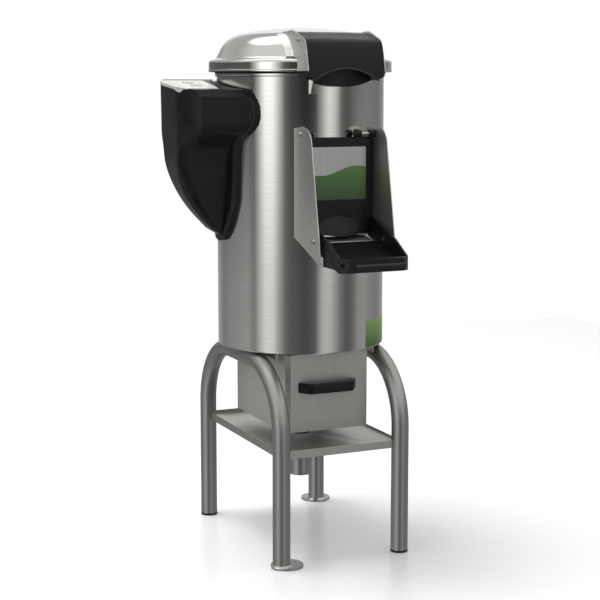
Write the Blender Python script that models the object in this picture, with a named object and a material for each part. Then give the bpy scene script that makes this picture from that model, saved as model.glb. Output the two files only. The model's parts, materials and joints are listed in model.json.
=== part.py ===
"""Mussel cleaning machine: a steel drum with a domed lid, a discharge outlet and a filter drawer, on a tubular stand.

Lengths are in metres. The drum's axis is x = y = 0 of the machine frame, the floor is z = 0, the front is -Y and
the side housing with the controls is on -X. One empty carries everything and puts the middle of the machine's
footprint on the world's origin.
"""

import math

import bmesh
import bpy
from mathutils import Matrix, Vector

MM = 0.001
for leftover in list(bpy.data.objects):
    bpy.data.objects.remove(leftover)

# Fits shared by all sub-parts
FIT = 0.3 * MM  # gap between pieces that touch
RUNNING = 1.0 * MM  # gap beside pieces that turn or slide
OVERRUN = 20 * MM  # how far a cutter runs past what it cuts
ROUND_STEPS = 60  # sides of every large round piece, so that their facets line up
HIDDEN_STEPS = ROUND_STEPS // 2  # sides of large round pieces that the drum hides
SMALL_STEPS = 16  # sides of shafts, pins and bosses
TINY_STEPS = 12  # sides of screw heads and small holes

# Drum
DRUM_R = 200 * MM
DRUM_WALL = 2 * MM
DRUM_BOTTOM = 483.4 * MM
DRUM_TOP = 1123 * MM
DRUM_FLANGE = 38 * MM  # the ring that rests on the stand

# Lid
LID_SHEET = 1.5 * MM
LID_TALL = 114 * MM  # from the drum's top edge to the lid's crown
CROWN_TOP = DRUM_TOP + LID_TALL
CROWN_ARC_R = 740 * MM
CROWN_R = 144 * MM
KNUCKLE_ARC_R = 66 * MM
RIM_R = 219.3 * MM
RIM_INNER_R = 197 * MM
RIM_DEPTH = 30.5 * MM  # from the shoulder to the rim's lower edge
RIM_ROUND = 16 * MM
GASKET_HEIGHT = 12.4 * MM
GASKET_OVERHANG = 4 * MM
HINGE_OUT = 240 * MM  # lid hinge axis behind the drum's axis
HINGE_RISE = 5 * MM  # and above the drum's top edge
HINGE_PIN_R = 5 * MM
HINGE_HALF = 60 * MM
STRAP_HALF = 42 * MM
STRAP_KNUCKLE_R = 10 * MM
STRAP_TALL = 13 * MM
EAR_BOSS_R = 11 * MM
BRACKET_TALL = 50 * MM
BRACKET_THICK = 5.7 * MM

# Lid handle
HANDLE_HALF = 96 * MM
HANDLE_PLATE = 1.5 * MM
HANDLE_OUT = 36.7 * MM  # front of the handle past the lid's rim
HANDLE_REACH = RIM_R + HANDLE_OUT
HANDLE_LIP = 2.5 * MM  # how far the steel sides stand past the cover
HANDLE_SHELL = 3 * MM
HANDLE_FOOT = 16 * MM
HANDLE_TALL = 88 * MM
HANDLE_DROP = 2 * MM  # how far the steel sides reach below the rim
HANDLE_APRON_DEEP = 18 * MM
HANDLE_APRON_R = HANDLE_REACH - HANDLE_APRON_DEEP
ARCH_RISE = 26 * MM
ARCH_HALF = 78 * MM
ARCH_LOW = 1112 * MM
APRON_LOW = 1099 * MM
APRON_SAG = 24 * MM
HANDLE_SCREW_OUT = 202 * MM
HANDLE_SCREW_Z = 1203 * MM
CATCH_HALF = 62 * MM
CATCH_LOW = 1083 * MM
CATCH_HIGH = 1119 * MM
CATCH_SHEET = 2 * MM
CATCH_REACH = 212 * MM
CATCH_LEDGE_Z = 1115 * MM
SCREW_HEAD_R = 5.5 * MM
SCREW_HEAD_TALL = 3 * MM
SCREW_R = 2.5 * MM
SCREW_LONG = 7 * MM

# Side housing with the controls
HOUSING_TOP = 1104.5 * MM  # height of the sloping top over the drum's axis
HOUSING_TALL = 360 * MM  # from the tip to the level that the shares below count to
HOUSING_HEM = 4.5 * MM
HOUSING_TIP = HOUSING_TOP - HOUSING_TALL - HOUSING_HEM
HOUSING_REACH = 135 * MM  # outermost face from the drum's wall
HOUSING_HALF = 117 * MM
HOUSING_WALL = 3.5 * MM
HOUSING_SLOPE_SHARE = 0.1127  # rise of the top towards the rear
HOUSING_CHAMFER = 11 * MM
HOUSING_CHAMFER_TALL = 16 * MM
COLLAR_THICK = 12 * MM
COLLAR_HALF = 126 * MM
PANEL_THICK = 2 * MM
PANEL_MARGIN = 4 * MM
BUTTON_R = 11 * MM
BUTTON_OUT = 75 * MM  # button axes from the drum's wall
BUTTON_APART = 56 * MM
BUTTON_FLANGE = 3 * MM
BUTTON_FLANGE_THICK = 2 * MM
SWITCH_TALL = 30 * MM
CONTACTOR_HALF = 36 * MM
CONTACTOR_DEEP = 46 * MM
CONTACTOR_TALL = 60 * MM
CHASSIS_HALF = 70 * MM
CHASSIS_TALL = 110 * MM
CHASSIS_DROP = 10 * MM  # from the housing's top to the chassis
BUTTON_TRAVEL = 2.5 * MM
BUTTON_PROUD = 1.6 * MM
GLAND_R = 8 * MM
GLAND_BORE_R = 4 * MM
GLAND_LONG = 18 * MM
GLAND_Z = 1030 * MM

# Discharge outlet
OPENING_HALF = 72 * MM
OPENING_LOW = 775 * MM
OPENING_HIGH = 966 * MM
OPENING_LIP = 7 * MM  # how far the drum's own opening reaches below the frame's
FRAME_FRONT = 203 * MM
FRAME_BORDER_LOW = 13 * MM
FRAME_BORDER_HIGH = 19 * MM
CHEEK_INNER = 93 * MM
CHEEK_SHEET = 2 * MM
CHEEK_LOW = 703 * MM
CHEEK_TALL = 305 * MM
CHEEK_REACH = 322 * MM
DOOR_THICK = 8 * MM
DOOR_HALF = 76 * MM
DOOR_LOW = 760 * MM
DOOR_TOP_GAP = 11 * MM  # from the door's upper edge to its hinge axis
LABEL_HALF = 69 * MM
LABEL_LOW = 843 * MM
LABEL_HIGH = 964 * MM
LABEL_DEEP = 1.2 * MM
BAND_LOW = 806 * MM
BAND_HIGH = 828 * MM
SEAL_THICK = 3.4 * MM
SEAL_WIDE = 3 * MM
SEAL_EDGE = 0.5 * MM
KNUCKLE_R = 8 * MM
KNUCKLE_NEAR = 40 * MM
KNUCKLE_WIDE = 18 * MM
EAR_R = 11.5 * MM  # round upper corners of the door, on the rod
EAR_NEAR = 62 * MM
SPACER_R = 9 * MM
ROD_R = 4 * MM
ROD_Z = 993 * MM
ROD_OUT = 212 * MM
GRIP_REACH = 22 * MM
GRIP_RISE = 33 * MM
GRIP_WALL = 2 * MM
GRIP_ROOT = 3 * MM
GRIP_FORM_SHARE = 0.97  # width of the grip's outer form, and of the space behind it
GRIP_SPACE_SHARE = 0.9
GRIP_BULGE_SHARE = 0.4
DOOR_SAG = 13 * MM
TRAY_PIVOT_OUT = 282 * MM
TRAY_PIVOT_Z = 757 * MM
TRAY_HALF = 85 * MM
TRAY_WALL = 5 * MM
TRAY_REACH = 407 * MM
TRAY_TAIL_R = 77 * MM
TRAY_TAIL_ANGLE = 36  # degrees of the rounded rear end
TRAY_FLOOR = 5 * MM
TRAY_BEND_OUT = 335 * MM
TRAY_BEND_Z = 762 * MM
TRAY_BAR = 15 * MM
TRAY_BAR_HIGH = 729 * MM
TRAY_BAR_LOW = 698 * MM
TRAY_CORNER = 18 * MM
TRAY_GROOVE = 3 * MM
TRAY_GROOVE_DEEP = 1.5 * MM
TRAY_PIN_R = 4 * MM
TRAY_HOLE_R = 4 * MM
SILL_HALF = 74 * MM
SILL_REACH = 244 * MM
SILL_Z = 757 * MM
SILL_DROP = 7 * MM
SILL_SHEET = 2 * MM
SILL_FLANGE = 20 * MM

# Filter drawer
BOX_HALF = 105 * MM
BOX_FRONT = 146.5 * MM
BOX_BACK = 153 * MM
BOX_LOW = 293 * MM
BOX_WINDOW_SHARE = 0.75  # open part of the housing's and the drawer's floor
BOX_SHEET = 1.5 * MM
HANGER_WIDE = 21 * MM
HANGER_DROP = 15 * MM
DRAWER_HIGH = 440 * MM
DRAWER_FACE = 7.2 * MM
DRAWER_FACE_DROP = 5 * MM
BOW_HALF = 68 * MM
BOW_OUT = 40 * MM
BOW_LOW = 387.5 * MM
BOW_TALL = 28 * MM
BOW_THICK = 12 * MM
BOW_BEND = 10 * MM
SCREEN_THICK = 2 * MM
SCREEN_SLOT = 7 * MM
SCREEN_ROWS = 7
SCREEN_EDGE = 20 * MM

# Stand
TUBE_R = 20.5 * MM
TUBE_STEPS = 20
FOOT_STEPS = 28
LEG_X = 153 * MM
LEG_Y = 235 * MM
BEND_R = 160 * MM
SHELF_LOW = 253 * MM
SHELF_LIP = 19 * MM
SHELF_SHEET = 1.5 * MM
DRAIN_R = 27.5 * MM
DRAIN_WALL = 2 * MM
DRAIN_LOW = 150 * MM
FOOT_R = 38 * MM
FOOT_THICK = 5 * MM
FRONT_FOOT_X = 17 * MM  # how far the front plate's middle lies off its leg
FRONT_FOOT_Y = 7 * MM
BACK_FOOT_X = 5 * MM
BACK_FOOT_Y = 15 * MM
FOOT_HOLE_R = 4.5 * MM
FOOT_HOLE_OUT = 27 * MM
CAP_R = 20.9 * MM

# Washing disc and drive
DISC_Z = 750 * MM
DISC_THICK = 6 * MM
DISC_R = 193 * MM
DISC_HUB_R = 26 * MM
RIB_TALL = 8 * MM
RIB_HALF = 7 * MM
RIB_END = 12 * MM  # from the rib's end to the disc's edge
RIB_COUNT = 6
NUT_R = 15 * MM
NUT_TALL = 13 * MM
SHAFT_R = 12.5 * MM
SHAFT_END_R = 8 * MM
FLOOR_Z = 730 * MM
FLOOR_SHEET = 3 * MM
FLOOR_RIM = 14 * MM
BEARING_OUTER_R = 26 * MM
BEARING_TALL = 15 * MM
CARRIER_R = 34 * MM
CARRIER_LOW = 664 * MM
CARRIER_HIGH = 741 * MM
CARRIER_FLANGE_R = 60 * MM
CARRIER_FLANGE = 7.7 * MM
BEARING_LOW_Z = 668 * MM
BEARING_HIGH_Z = 700 * MM
SEAL_Z = 728 * MM
SEAL_TALL = 8 * MM
PULLEY_Z = 628 * MM
PULLEY_TALL = 24 * MM
PULLEY_R = 78 * MM
PULLEY_RIM = 8 * MM
PULLEY_HUB_R = 24 * MM
MOTOR_PULLEY_R = 24 * MM
MOTOR_OUT = 112 * MM  # motor axis from the drum's axis
MOTOR_R = 60 * MM
MOTOR_FOOT_R = 66 * MM
MOTOR_FOOT = 8 * MM
MOTOR_HIGH = 620 * MM
MOTOR_SHAFT_R = 9 * MM
MOTOR_SHAFT_LOW = 585 * MM
BELT_THICK = 4 * MM
BELT_TALL = 18 * MM
BASE_SHEET = 3 * MM
BASE_EDGE = 2.5 * MM
DUCT_Y = 122 * MM
DUCT_R = 27 * MM
DUCT_WALL = 1.5 * MM
DUCT_LOW = 450 * MM
INLET_Z = 1030 * MM
INLET_R = 11 * MM
INLET_BORE_R = 7 * MM
INLET_FLANGE_R = 18 * MM
INLET_FLANGE = 4 * MM
INLET_NUT_R = 14 * MM
INLET_NUT = 10 * MM
INLET_LONG = 45 * MM

# Colour, roughness and metallic value of each finish
STEEL = ("brushed_steel", (0.62, 0.61, 0.59), 0.35, 1.0)
STEEL_DARK = ("turned_steel", (0.42, 0.42, 0.42), 0.3, 1.0)
BLACK = ("black_moulding", (0.012, 0.012, 0.013), 0.42, 0.0)
RUBBER = ("rubber", (0.02, 0.02, 0.02), 0.75, 0.0)
GREY = ("grey_paint", (0.32, 0.33, 0.34), 0.5, 0.2)
SILVER = ("silver_film", (0.6, 0.61, 0.62), 0.4, 0.3)
GREEN = ("green_plastic", (0.05, 0.35, 0.07), 0.4, 0.0)
RED = ("red_plastic", (0.55, 0.02, 0.02), 0.4, 0.0)
CERAMIC = ("abrasive", (0.2, 0.2, 0.19), 0.8, 0.0)

foot_reach = LEG_Y + BACK_FOOT_Y + FOOT_R
machine = bpy.data.objects.new("machine", None)
bpy.context.scene.collection.objects.link(machine)
machine.location = ((HOUSING_REACH + DRUM_R - RIM_R) / 2, (TRAY_REACH - foot_reach) / 2, 0)


# Meshes from outlines, profiles and rings

def finished(work):
    """A mesh with faces pointing out, from a closed bmesh."""
    bmesh.ops.remove_doubles(work, verts=work.verts, dist=FIT / ROUND_STEPS)
    bmesh.ops.recalc_face_normals(work, faces=work.faces)
    mesh = bpy.data.meshes.new("shape")
    work.to_mesh(mesh)
    work.free()
    return mesh


def loft(rings):
    """A closed solid through rings that hold the same number of points."""
    work = bmesh.new()
    made = [[work.verts.new(point) for point in ring] for ring in rings]
    for near, far in zip(made, made[1:]):
        for i, vert in enumerate(near):
            j = (i + 1) % len(near)
            work.faces.new((vert, near[j], far[j], far[i]))
    work.faces.new(made[0])
    work.faces.new(made[-1])
    return finished(work)


def spread(axis, at, point):
    """The 3D point at distance at along the axis, with point across it in the order x, y, z."""
    a, b = point
    if axis == "X":
        return (at, a, b)
    if axis == "Y":
        return (a, at, b)
    return (a, b, at)


def prism(axis, outline, low, high):
    return loft([[spread(axis, at, point) for point in outline] for at in (low, high)])


def box(low, high):
    (x0, y0, z0), (x1, y1, z1) = low, high
    return prism("Z", [(x0, y0), (x1, y0), (x1, y1), (x0, y1)], z0, z1)


def arc(centre, radius, start, end, steps):
    """Points on an arc, with angles in degrees from the first axis towards the second."""
    angles = [math.radians(start + (end - start) * i / steps) for i in range(steps + 1)]
    return [(centre[0] + radius * math.cos(a), centre[1] + radius * math.sin(a)) for a in angles]


def circle(centre, radius, steps):
    return arc(centre, radius, 0, 360, steps)[:-1]


def rod(axis, centre, radius, low, high, steps=SMALL_STEPS):
    return prism(axis, circle(centre, radius, steps), low, high)


def bent(start, control, end, steps):
    """Points of a smooth bend from start to end that leans towards control."""
    points = []
    for i in range(steps + 1):
        t = i / steps
        shares = ((1 - t) ** 2, 2 * t * (1 - t), t ** 2)
        points.append(tuple(sum(w * p[k] for w, p in zip(shares, (start, control, end))) for k in (0, 1)))
    return points


def beside(points, distance):
    """The line that runs at a distance to the left of a line of points."""
    sides = []
    for i, point in enumerate(points):
        here = Vector(point)
        before = Vector(points[i - 1]) if i else None
        after = Vector(points[i + 1]) if i + 1 < len(points) else None
        into = (here - before).normalized() if before else (after - here).normalized()
        out = (after - here).normalized() if after else into
        square = Vector((-(into + out).y, (into + out).x)).normalized()
        reach = distance / square.dot(Vector((-into.y, into.x)))
        sides.append(tuple(here + square * reach))
    return sides


def ribbon(points, thickness):
    """The outline of a folded sheet that runs along a line of points."""
    return list(points) + beside(points, thickness)[::-1]


def turned(profile, steps=ROUND_STEPS, centre=(0, 0)):
    """A profile of (radius, height) points, turned round the vertical line through centre."""
    work = bmesh.new()
    rings = []
    for radius, height in profile:
        if radius == 0:
            rings.append([work.verts.new((centre[0], centre[1], height))] * steps)
            continue
        rings.append([work.verts.new((x, y, height)) for x, y in circle(centre, radius, steps)])
    for near, far in zip(rings, rings[1:] + rings[:1]):
        for i in range(steps):
            j = (i + 1) % steps
            corners = list(dict.fromkeys((near[i], near[j], far[j], far[i])))
            if len(corners) > 2:
                work.faces.new(corners)
    return finished(work)


def ring(inner, outer, low, high, steps=ROUND_STEPS, centre=(0, 0)):
    return turned([(inner, low), (outer, low), (outer, high), (inner, high)], steps, centre)


def aimed(mesh, direction, foot):
    """A mesh made along +Z, turned to a direction and moved to its foot."""
    turn = Vector((0, 0, 1)).rotation_difference(Vector(direction)).to_matrix().to_4x4()
    mesh.transform(turn)
    mesh.transform(Matrix.Translation(foot))
    return mesh


def mirrored(mesh):
    """The same mesh on the other side of the machine's middle plane."""
    other = mesh.copy()
    other.transform(Matrix.Scale(-1, 4, (1, 0, 0)))
    other.flip_normals()
    return other


def solved(body, tool, operation):
    """One exact Boolean of two closed meshes."""
    scene = bpy.context.scene.collection
    pair = [bpy.data.objects.new("operand", mesh) for mesh in (body, tool)]
    for obj in pair:
        scene.objects.link(obj)
    modifier = pair[0].modifiers.new("solve", "BOOLEAN")
    modifier.operation = operation
    modifier.solver = "EXACT"
    modifier.object = pair[1]
    seen = pair[0].evaluated_get(bpy.context.evaluated_depsgraph_get())
    result = bpy.data.meshes.new_from_object(seen)
    for obj in pair:
        bpy.data.objects.remove(obj)
    return result


def cut(body, *tools):
    for tool in tools:
        body = solved(body, tool, "DIFFERENCE")
    return body


def join(body, *others):
    for other in others:
        body = solved(body, other, "UNION")
    return body


def overlap(body, tool):
    return solved(body, tool, "INTERSECT")


# Nodes

SMOOTH_ANGLE = math.radians(28)


def finish_of(entry, name):
    """The node's own material, made from a shared finish."""
    _, colour, roughness, metallic = entry
    material = bpy.data.materials.new(f"{name}_{entry[0]}")
    material.use_nodes = True
    shader = material.node_tree.nodes["Principled BSDF"]
    shader.inputs["Base Color"].default_value = (*colour, 1)
    shader.inputs["Roughness"].default_value = roughness
    shader.inputs["Metallic"].default_value = metallic
    return material


def node(name, mesh, entry, pivot=(0, 0, 0)):
    """Puts a mesh made in the machine frame into the scene, with its origin at pivot."""
    mesh.transform(Matrix.Translation(-Vector(pivot)))
    mesh.name = name
    mesh.materials.clear()
    mesh.materials.append(finish_of(entry, name))
    mesh.shade_smooth()
    mesh.set_sharp_from_angle(angle=SMOOTH_ANGLE)
    obj = bpy.data.objects.new(name, mesh)
    bpy.context.scene.collection.objects.link(obj)
    obj.parent = machine
    obj.location = pivot
    return obj


# Drum

def drum_cutter(gap=FIT):
    """The space inside the drum's outer face, for pieces that are shaped to it."""
    return rod("Z", (0, 0), DRUM_R + gap, 0, CROWN_TOP, ROUND_STEPS)


def drum_band(thickness, half, low, high, side=-1):
    """A plate bent round the drum, as wide as twice half, at its front (side -1) or its back (side 1)."""
    inner = DRUM_R + FIT
    band = ring(inner, inner + thickness, low, high)
    near, far = sorted((0, side * (inner + thickness)))
    return overlap(band, box((-half, near, low - OVERRUN), (half, far, high + OVERRUN)))


def body_shell():
    inner = DRUM_R - DRUM_WALL
    flange = DRUM_BOTTOM + DRUM_WALL
    shell = turned([
        (DRUM_R, DRUM_BOTTOM), (DRUM_R, DRUM_TOP), (inner, DRUM_TOP),
        (inner, flange), (inner - DRUM_FLANGE, flange), (inner - DRUM_FLANGE, DRUM_BOTTOM),
    ])
    front = box(
        (-OPENING_HALF, -DRUM_R - OVERRUN, OPENING_LOW - OPENING_LIP),
        (OPENING_HALF, -DRUM_R / 2, OPENING_HIGH),
    )
    inlet = rod("Y", (0, INLET_Z), INLET_R + FIT, DRUM_R - OVERRUN, DRUM_R + OVERRUN)
    return cut(shell, front, inlet)


node("body_shell", body_shell(), STEEL)


# Lid: a spun dome with a rolled rim, hinged at the back

RIM_LOW = DRUM_TOP + FIT + GASKET_HEIGHT + FIT
HINGE_Z = DRUM_TOP + HINGE_RISE
KNUCKLE_END = 63.4  # slope of the lid's side in degrees
LID_PIVOT = (0, HINGE_OUT, HINGE_Z)


def dome_line():
    """Radius and height along the lid's outer face, from the crown to the rim's lower edge."""
    crown_shares = (0, 0.5, 1)
    radii = [share * CROWN_R for share in crown_shares]
    crown = [(r, CROWN_TOP - r * r / (2 * CROWN_ARC_R)) for r in radii]
    slope = math.degrees(CROWN_R / CROWN_ARC_R)
    turn = math.radians(slope)
    edge_r, edge_z = crown[-1]
    middle = (edge_r - KNUCKLE_ARC_R * math.sin(turn), edge_z - KNUCKLE_ARC_R * math.cos(turn))
    knuckle = arc(middle, KNUCKLE_ARC_R, 90 - slope, 90 - KNUCKLE_END, 3)[1:]
    side_r, side_z = knuckle[-1]
    shoulder_z = RIM_LOW + RIM_DEPTH
    shoulder = (side_r + (side_z - shoulder_z) / math.tan(math.radians(KNUCKLE_END)), shoulder_z)
    roll = bent(shoulder, (RIM_R, shoulder_z - LID_SHEET), (RIM_R, shoulder_z - RIM_ROUND), 2)
    return crown + knuckle + roll + [(RIM_R, RIM_LOW)]


def dome_space(gap, low):
    """Everything inside the lid's outer face and a gap, down to a level, for pieces shaped to the lid."""
    line = beside(dome_line(), gap)
    line[0] = (0, CROWN_TOP + gap)
    line[-1] = (RIM_R + gap, low)
    return turned([*line, (0, low)])


def lid_dome():
    profile = ribbon([*dome_line(), (RIM_INNER_R, RIM_LOW)], -LID_SHEET)
    profile[-1] = (0, CROWN_TOP - LID_SHEET)
    return turned(profile)


def lid_hinge_strap():
    inner = RIM_R - STRAP_KNUCKLE_R
    low = RIM_LOW + RUNNING
    high = low + STRAP_TALL
    outline = [
        (inner, low), (RIM_R + RUNNING, low),
        (HINGE_OUT - STRAP_KNUCKLE_R, HINGE_Z), (HINGE_OUT + STRAP_KNUCKLE_R, HINGE_Z),
        (RIM_R + STRAP_KNUCKLE_R, high), (inner, high),
    ]
    axis = (HINGE_OUT, HINGE_Z)
    strap = prism("X", outline, -STRAP_HALF, STRAP_HALF)
    strap = join(strap, rod("X", axis, STRAP_KNUCKLE_R, -STRAP_HALF, STRAP_HALF))
    bore = rod("X", axis, HINGE_PIN_R + FIT, -HINGE_HALF, HINGE_HALF)
    return cut(strap, dome_space(FIT, low - OVERRUN), bore)


def lid_hinge_bracket():
    high = DRUM_TOP - BRACKET_THICK / 2
    low = high - BRACKET_TALL
    inner = DRUM_R - BRACKET_THICK
    axis = (HINGE_OUT, HINGE_Z)
    bracket = drum_band(BRACKET_THICK, HINGE_HALF + RUNNING, low, high, 1)
    outline = [
        (inner, low + RUNNING), (inner, high - RUNNING),
        (HINGE_OUT - EAR_BOSS_R * math.sqrt(0.5), HINGE_Z + EAR_BOSS_R * math.sqrt(0.5)),
        (HINGE_OUT + EAR_BOSS_R, HINGE_Z), (DRUM_R + EAR_BOSS_R, low + RUNNING),
    ]
    near = STRAP_HALF + RUNNING
    for low_x, high_x in ((-HINGE_HALF, -near), (near, HINGE_HALF)):
        ear = cut(prism("X", outline, low_x, high_x), drum_cutter())
        bracket = join(bracket, ear, rod("X", axis, EAR_BOSS_R, low_x, high_x))
    return cut(bracket, rod("X", axis, HINGE_PIN_R + FIT, -HINGE_HALF - OVERRUN, HINGE_HALF + OVERRUN))


def lid_hinge_pin():
    head_r = HINGE_PIN_R + CATCH_SHEET
    head = HINGE_HALF + FIT
    tip = head + CATCH_SHEET
    profile = [
        (0, -tip), (head_r, -tip), (head_r, -head), (HINGE_PIN_R, -head),
        (HINGE_PIN_R, head), (head_r, head), (head_r, tip), (0, tip),
    ]
    return aimed(turned(profile, TINY_STEPS), (1, 0, 0), LID_PIVOT)


gasket = ring(DRUM_R - GASKET_OVERHANG, DRUM_R + GASKET_OVERHANG, DRUM_TOP + FIT, DRUM_TOP + FIT + GASKET_HEIGHT)
node("lid_gasket", gasket, RUBBER)
node("lid_dome", lid_dome(), STEEL, LID_PIVOT)
node("lid_hinge_strap", lid_hinge_strap(), STEEL_DARK, LID_PIVOT)
node("lid_hinge_bracket", lid_hinge_bracket(), STEEL_DARK)
node("lid_hinge_pin", lid_hinge_pin(), STEEL_DARK)


# Lid handle: a black moulding with a finger pocket, between two steel sides that stand on the dome

HANDLE_LOW = RIM_LOW - HANDLE_DROP


def handle_line():
    """The handle's outer line seen from its side, from the dome over the top to the lower front edge."""
    outline_shares = ((0.461, 1.0), (0.64, 0.977), (0.832, 0.92), (0.949, 0.875), (0.984, 0.466), (1, 0.273), (1, 0))
    points = [(-out * HANDLE_REACH, HANDLE_LOW + up * HANDLE_TALL) for out, up in outline_shares]
    return points[:2] + bent(points[2], points[3], points[4], 4) + points[5:]


def handle_side():
    line = beside(handle_line(), -HANDLE_LIP)
    start_y = line[0][0]
    plate = prism("X", [*line, (start_y, HANDLE_LOW)], HANDLE_HALF - HANDLE_PLATE, HANDLE_HALF)
    plate = cut(plate, dome_space(FIT, HANDLE_LOW - OVERRUN))
    flank = [point for point in dome_line() if point[0] >= CROWN_R][:5]
    skin = turned(beside(flank, FIT) + beside(flank, FIT + HANDLE_PLATE)[::-1])
    foot = overlap(skin, box(
        (HANDLE_HALF - HANDLE_PLATE, -RIM_R, HANDLE_LOW),
        (HANDLE_HALF + HANDLE_FOOT, start_y, CROWN_TOP + OVERRUN),
    ))
    hole = rod("X", (-HANDLE_SCREW_OUT, HANDLE_SCREW_Z), SCREW_R + FIT, 0, HANDLE_HALF + OVERRUN, TINY_STEPS)
    return cut(join(plate, foot), hole)


def across(half, low, rise, steps=10):
    """Points of a flat arch in the x, z plane: it stands at low at either half width, and rises in the middle."""
    shares = [-1 + 2 * i / steps for i in range(steps + 1)]
    return [(share * half, low + rise * (1 - share * share)) for share in shares]


def arch_block(half, low, rise, radius):
    """The space under an arch, in front of a round back of this radius."""
    bottom = APRON_LOW - OVERRUN
    outline = [(-half, bottom), *across(half, low, rise), (half, bottom)]
    block = prism("Y", outline, -HANDLE_REACH - OVERRUN, -DRUM_R + OVERRUN)
    return cut(block, rod("Z", (0, 0), radius, bottom - OVERRUN, CROWN_TOP, ROUND_STEPS))


def lid_handle_cover():
    half = HANDLE_HALF - HANDLE_PLATE - FIT
    line = handle_line()
    back = line[0][0]
    bottom = APRON_LOW - OVERRUN
    rest = [(-HANDLE_REACH, APRON_LOW - RUNNING), (back, APRON_LOW - RUNNING)]
    cover = prism("X", line[:-1] + rest, -half, half)
    inside = beside(line[:-1], HANDLE_SHELL)
    inside += [(-HANDLE_REACH + HANDLE_SHELL, bottom), (back + OVERRUN, bottom), (back + OVERRUN, inside[0][1])]
    cavity = prism("X", inside, -half + HANDLE_SHELL, half - HANDLE_SHELL)
    shield = arch_block(
        ARCH_HALF + HANDLE_SHELL, ARCH_LOW + HANDLE_SHELL, ARCH_RISE, HANDLE_APRON_R - HANDLE_SHELL
    )
    hem = across(half + RUNNING, APRON_LOW + APRON_SAG, -APRON_SAG)
    below = prism(
        "Y", [*hem, (half + RUNNING, bottom - OVERRUN), (-half - RUNNING, bottom - OVERRUN)],
        -HANDLE_REACH - OVERRUN, 0,
    )
    hole = rod("X", (-HANDLE_SCREW_OUT, HANDLE_SCREW_Z), SCREW_R + FIT, -HANDLE_REACH, HANDLE_REACH, TINY_STEPS)
    return cut(
        cover, dome_space(FIT, bottom - OVERRUN), cut(cavity, shield),
        arch_block(ARCH_HALF, ARCH_LOW, ARCH_RISE, HANDLE_APRON_R), below, hole,
    )


def screw(direction, foot, long=SCREW_LONG):
    """A domed screw whose head stands on foot and points along direction."""
    profile = [
        (0, SCREW_HEAD_TALL), (SCREW_HEAD_R / 2, SCREW_HEAD_TALL - FIT), (SCREW_HEAD_R, FIT),
        (SCREW_HEAD_R, 0), (SCREW_R, 0), (SCREW_R, -long), (0, -long),
    ]
    return aimed(turned(profile, TINY_STEPS), direction, foot)


def lid_catch():
    half = CATCH_HALF + CATCH_SHEET
    catch = drum_band(CATCH_SHEET, CATCH_HALF, CATCH_LOW, CATCH_HIGH)
    ledge = box((-half, -CATCH_REACH, CATCH_LEDGE_Z - CATCH_SHEET), (half, -DRUM_R / 2, CATCH_LEDGE_Z))
    outline = [
        (-CATCH_REACH, CATCH_LEDGE_Z), (-DRUM_R / 2, CATCH_LEDGE_Z), (-DRUM_R / 2, CATCH_LOW),
        (-DRUM_R + CATCH_SHEET, CATCH_LOW),
    ]
    gusset = prism("X", outline, -half - FIT, -CATCH_HALF)
    return join(catch, cut(ledge, drum_cutter()), cut(gusset, drum_cutter()))


node("lid_handle_side_right", handle_side(), STEEL, LID_PIVOT)
node("lid_handle_side_left", mirrored(handle_side()), STEEL, LID_PIVOT)
node("lid_handle_cover", lid_handle_cover(), BLACK, LID_PIVOT)
for name, side in (("left", -1), ("right", 1)):
    foot = (side * (HANDLE_HALF + FIT), -HANDLE_SCREW_OUT, HANDLE_SCREW_Z)
    node(f"lid_handle_screw_{name}", screw((side, 0, 0), foot), STEEL_DARK, LID_PIVOT)
node("lid_catch", lid_catch(), STEEL)


# Side housing: a black moulding that carries the controls, on a collar bent round the drum

# Level, reach, half width, corner depth, flat part of the outer face and roundness of the corner
HOUSING_SHARES = (
    (0.011, 0.03, 0.10, 0.03, 0.5, 0.8),
    (0.081, 0.289, 0.24, 0.15, 0.5, 0.8),
    (0.192, 0.563, 0.30, 0.22, 0.5, 0.8),
    (0.300, 0.765, 0.35, 0.26, 0.5, 0.8),
    (0.408, 0.89, 0.40, 0.28, 0.65, 0.8),
    (0.514, 0.955, 0.43, 0.29, 0.82, 0.8),
    (0.611, 0.968, 0.51, 0.30, 0.78, 0.7),
    (0.642, 0.972, 0.62, 0.30, 0.68, 0.6),
    (0.681, 0.976, 0.78, 0.30, 0.58, 0.45),
    (0.714, 0.98, 0.915, 0.29, 0.50, 0.35),
    (0.758, 0.985, 0.995, 0.28, 0.45, 0.3),
    (1.000, 1.000, 1.0, 0.274, 0.42, 0.25),
    (1.100, 1.000, 1.0, 0.274, 0.42, 0.25),
)
# Half width and level of the collar's edge, from its upper corner to its tip
COLLAR_SHARES = (
    (0.815, 0.972), (0.886, 0.95), (0.949, 0.917), (0.992, 0.875), (1, 0.833), (1, 0.803), (0.971, 0.758),
    (0.902, 0.719), (0.811, 0.689), (0.728, 0.669), (0.661, 0.65), (0.63, 0.567), (0.614, 0.406), (0.589, 0.278),
    (0.512, 0.186), (0.425, 0.114), (0.303, 0.053), (0.157, 0.008),
)
COLLAR_SLOPED = 6  # how many of its first points follow the slope of the top
WINDOW_SHARES = ((0.3, 0.22), (0.3, 0.62), (0.75, 0.74), (0.75, 0.9))


def top_level(y):
    """Height of the housing's sloping top."""
    return HOUSING_TOP + HOUSING_SLOPE_SHARE * y


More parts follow.
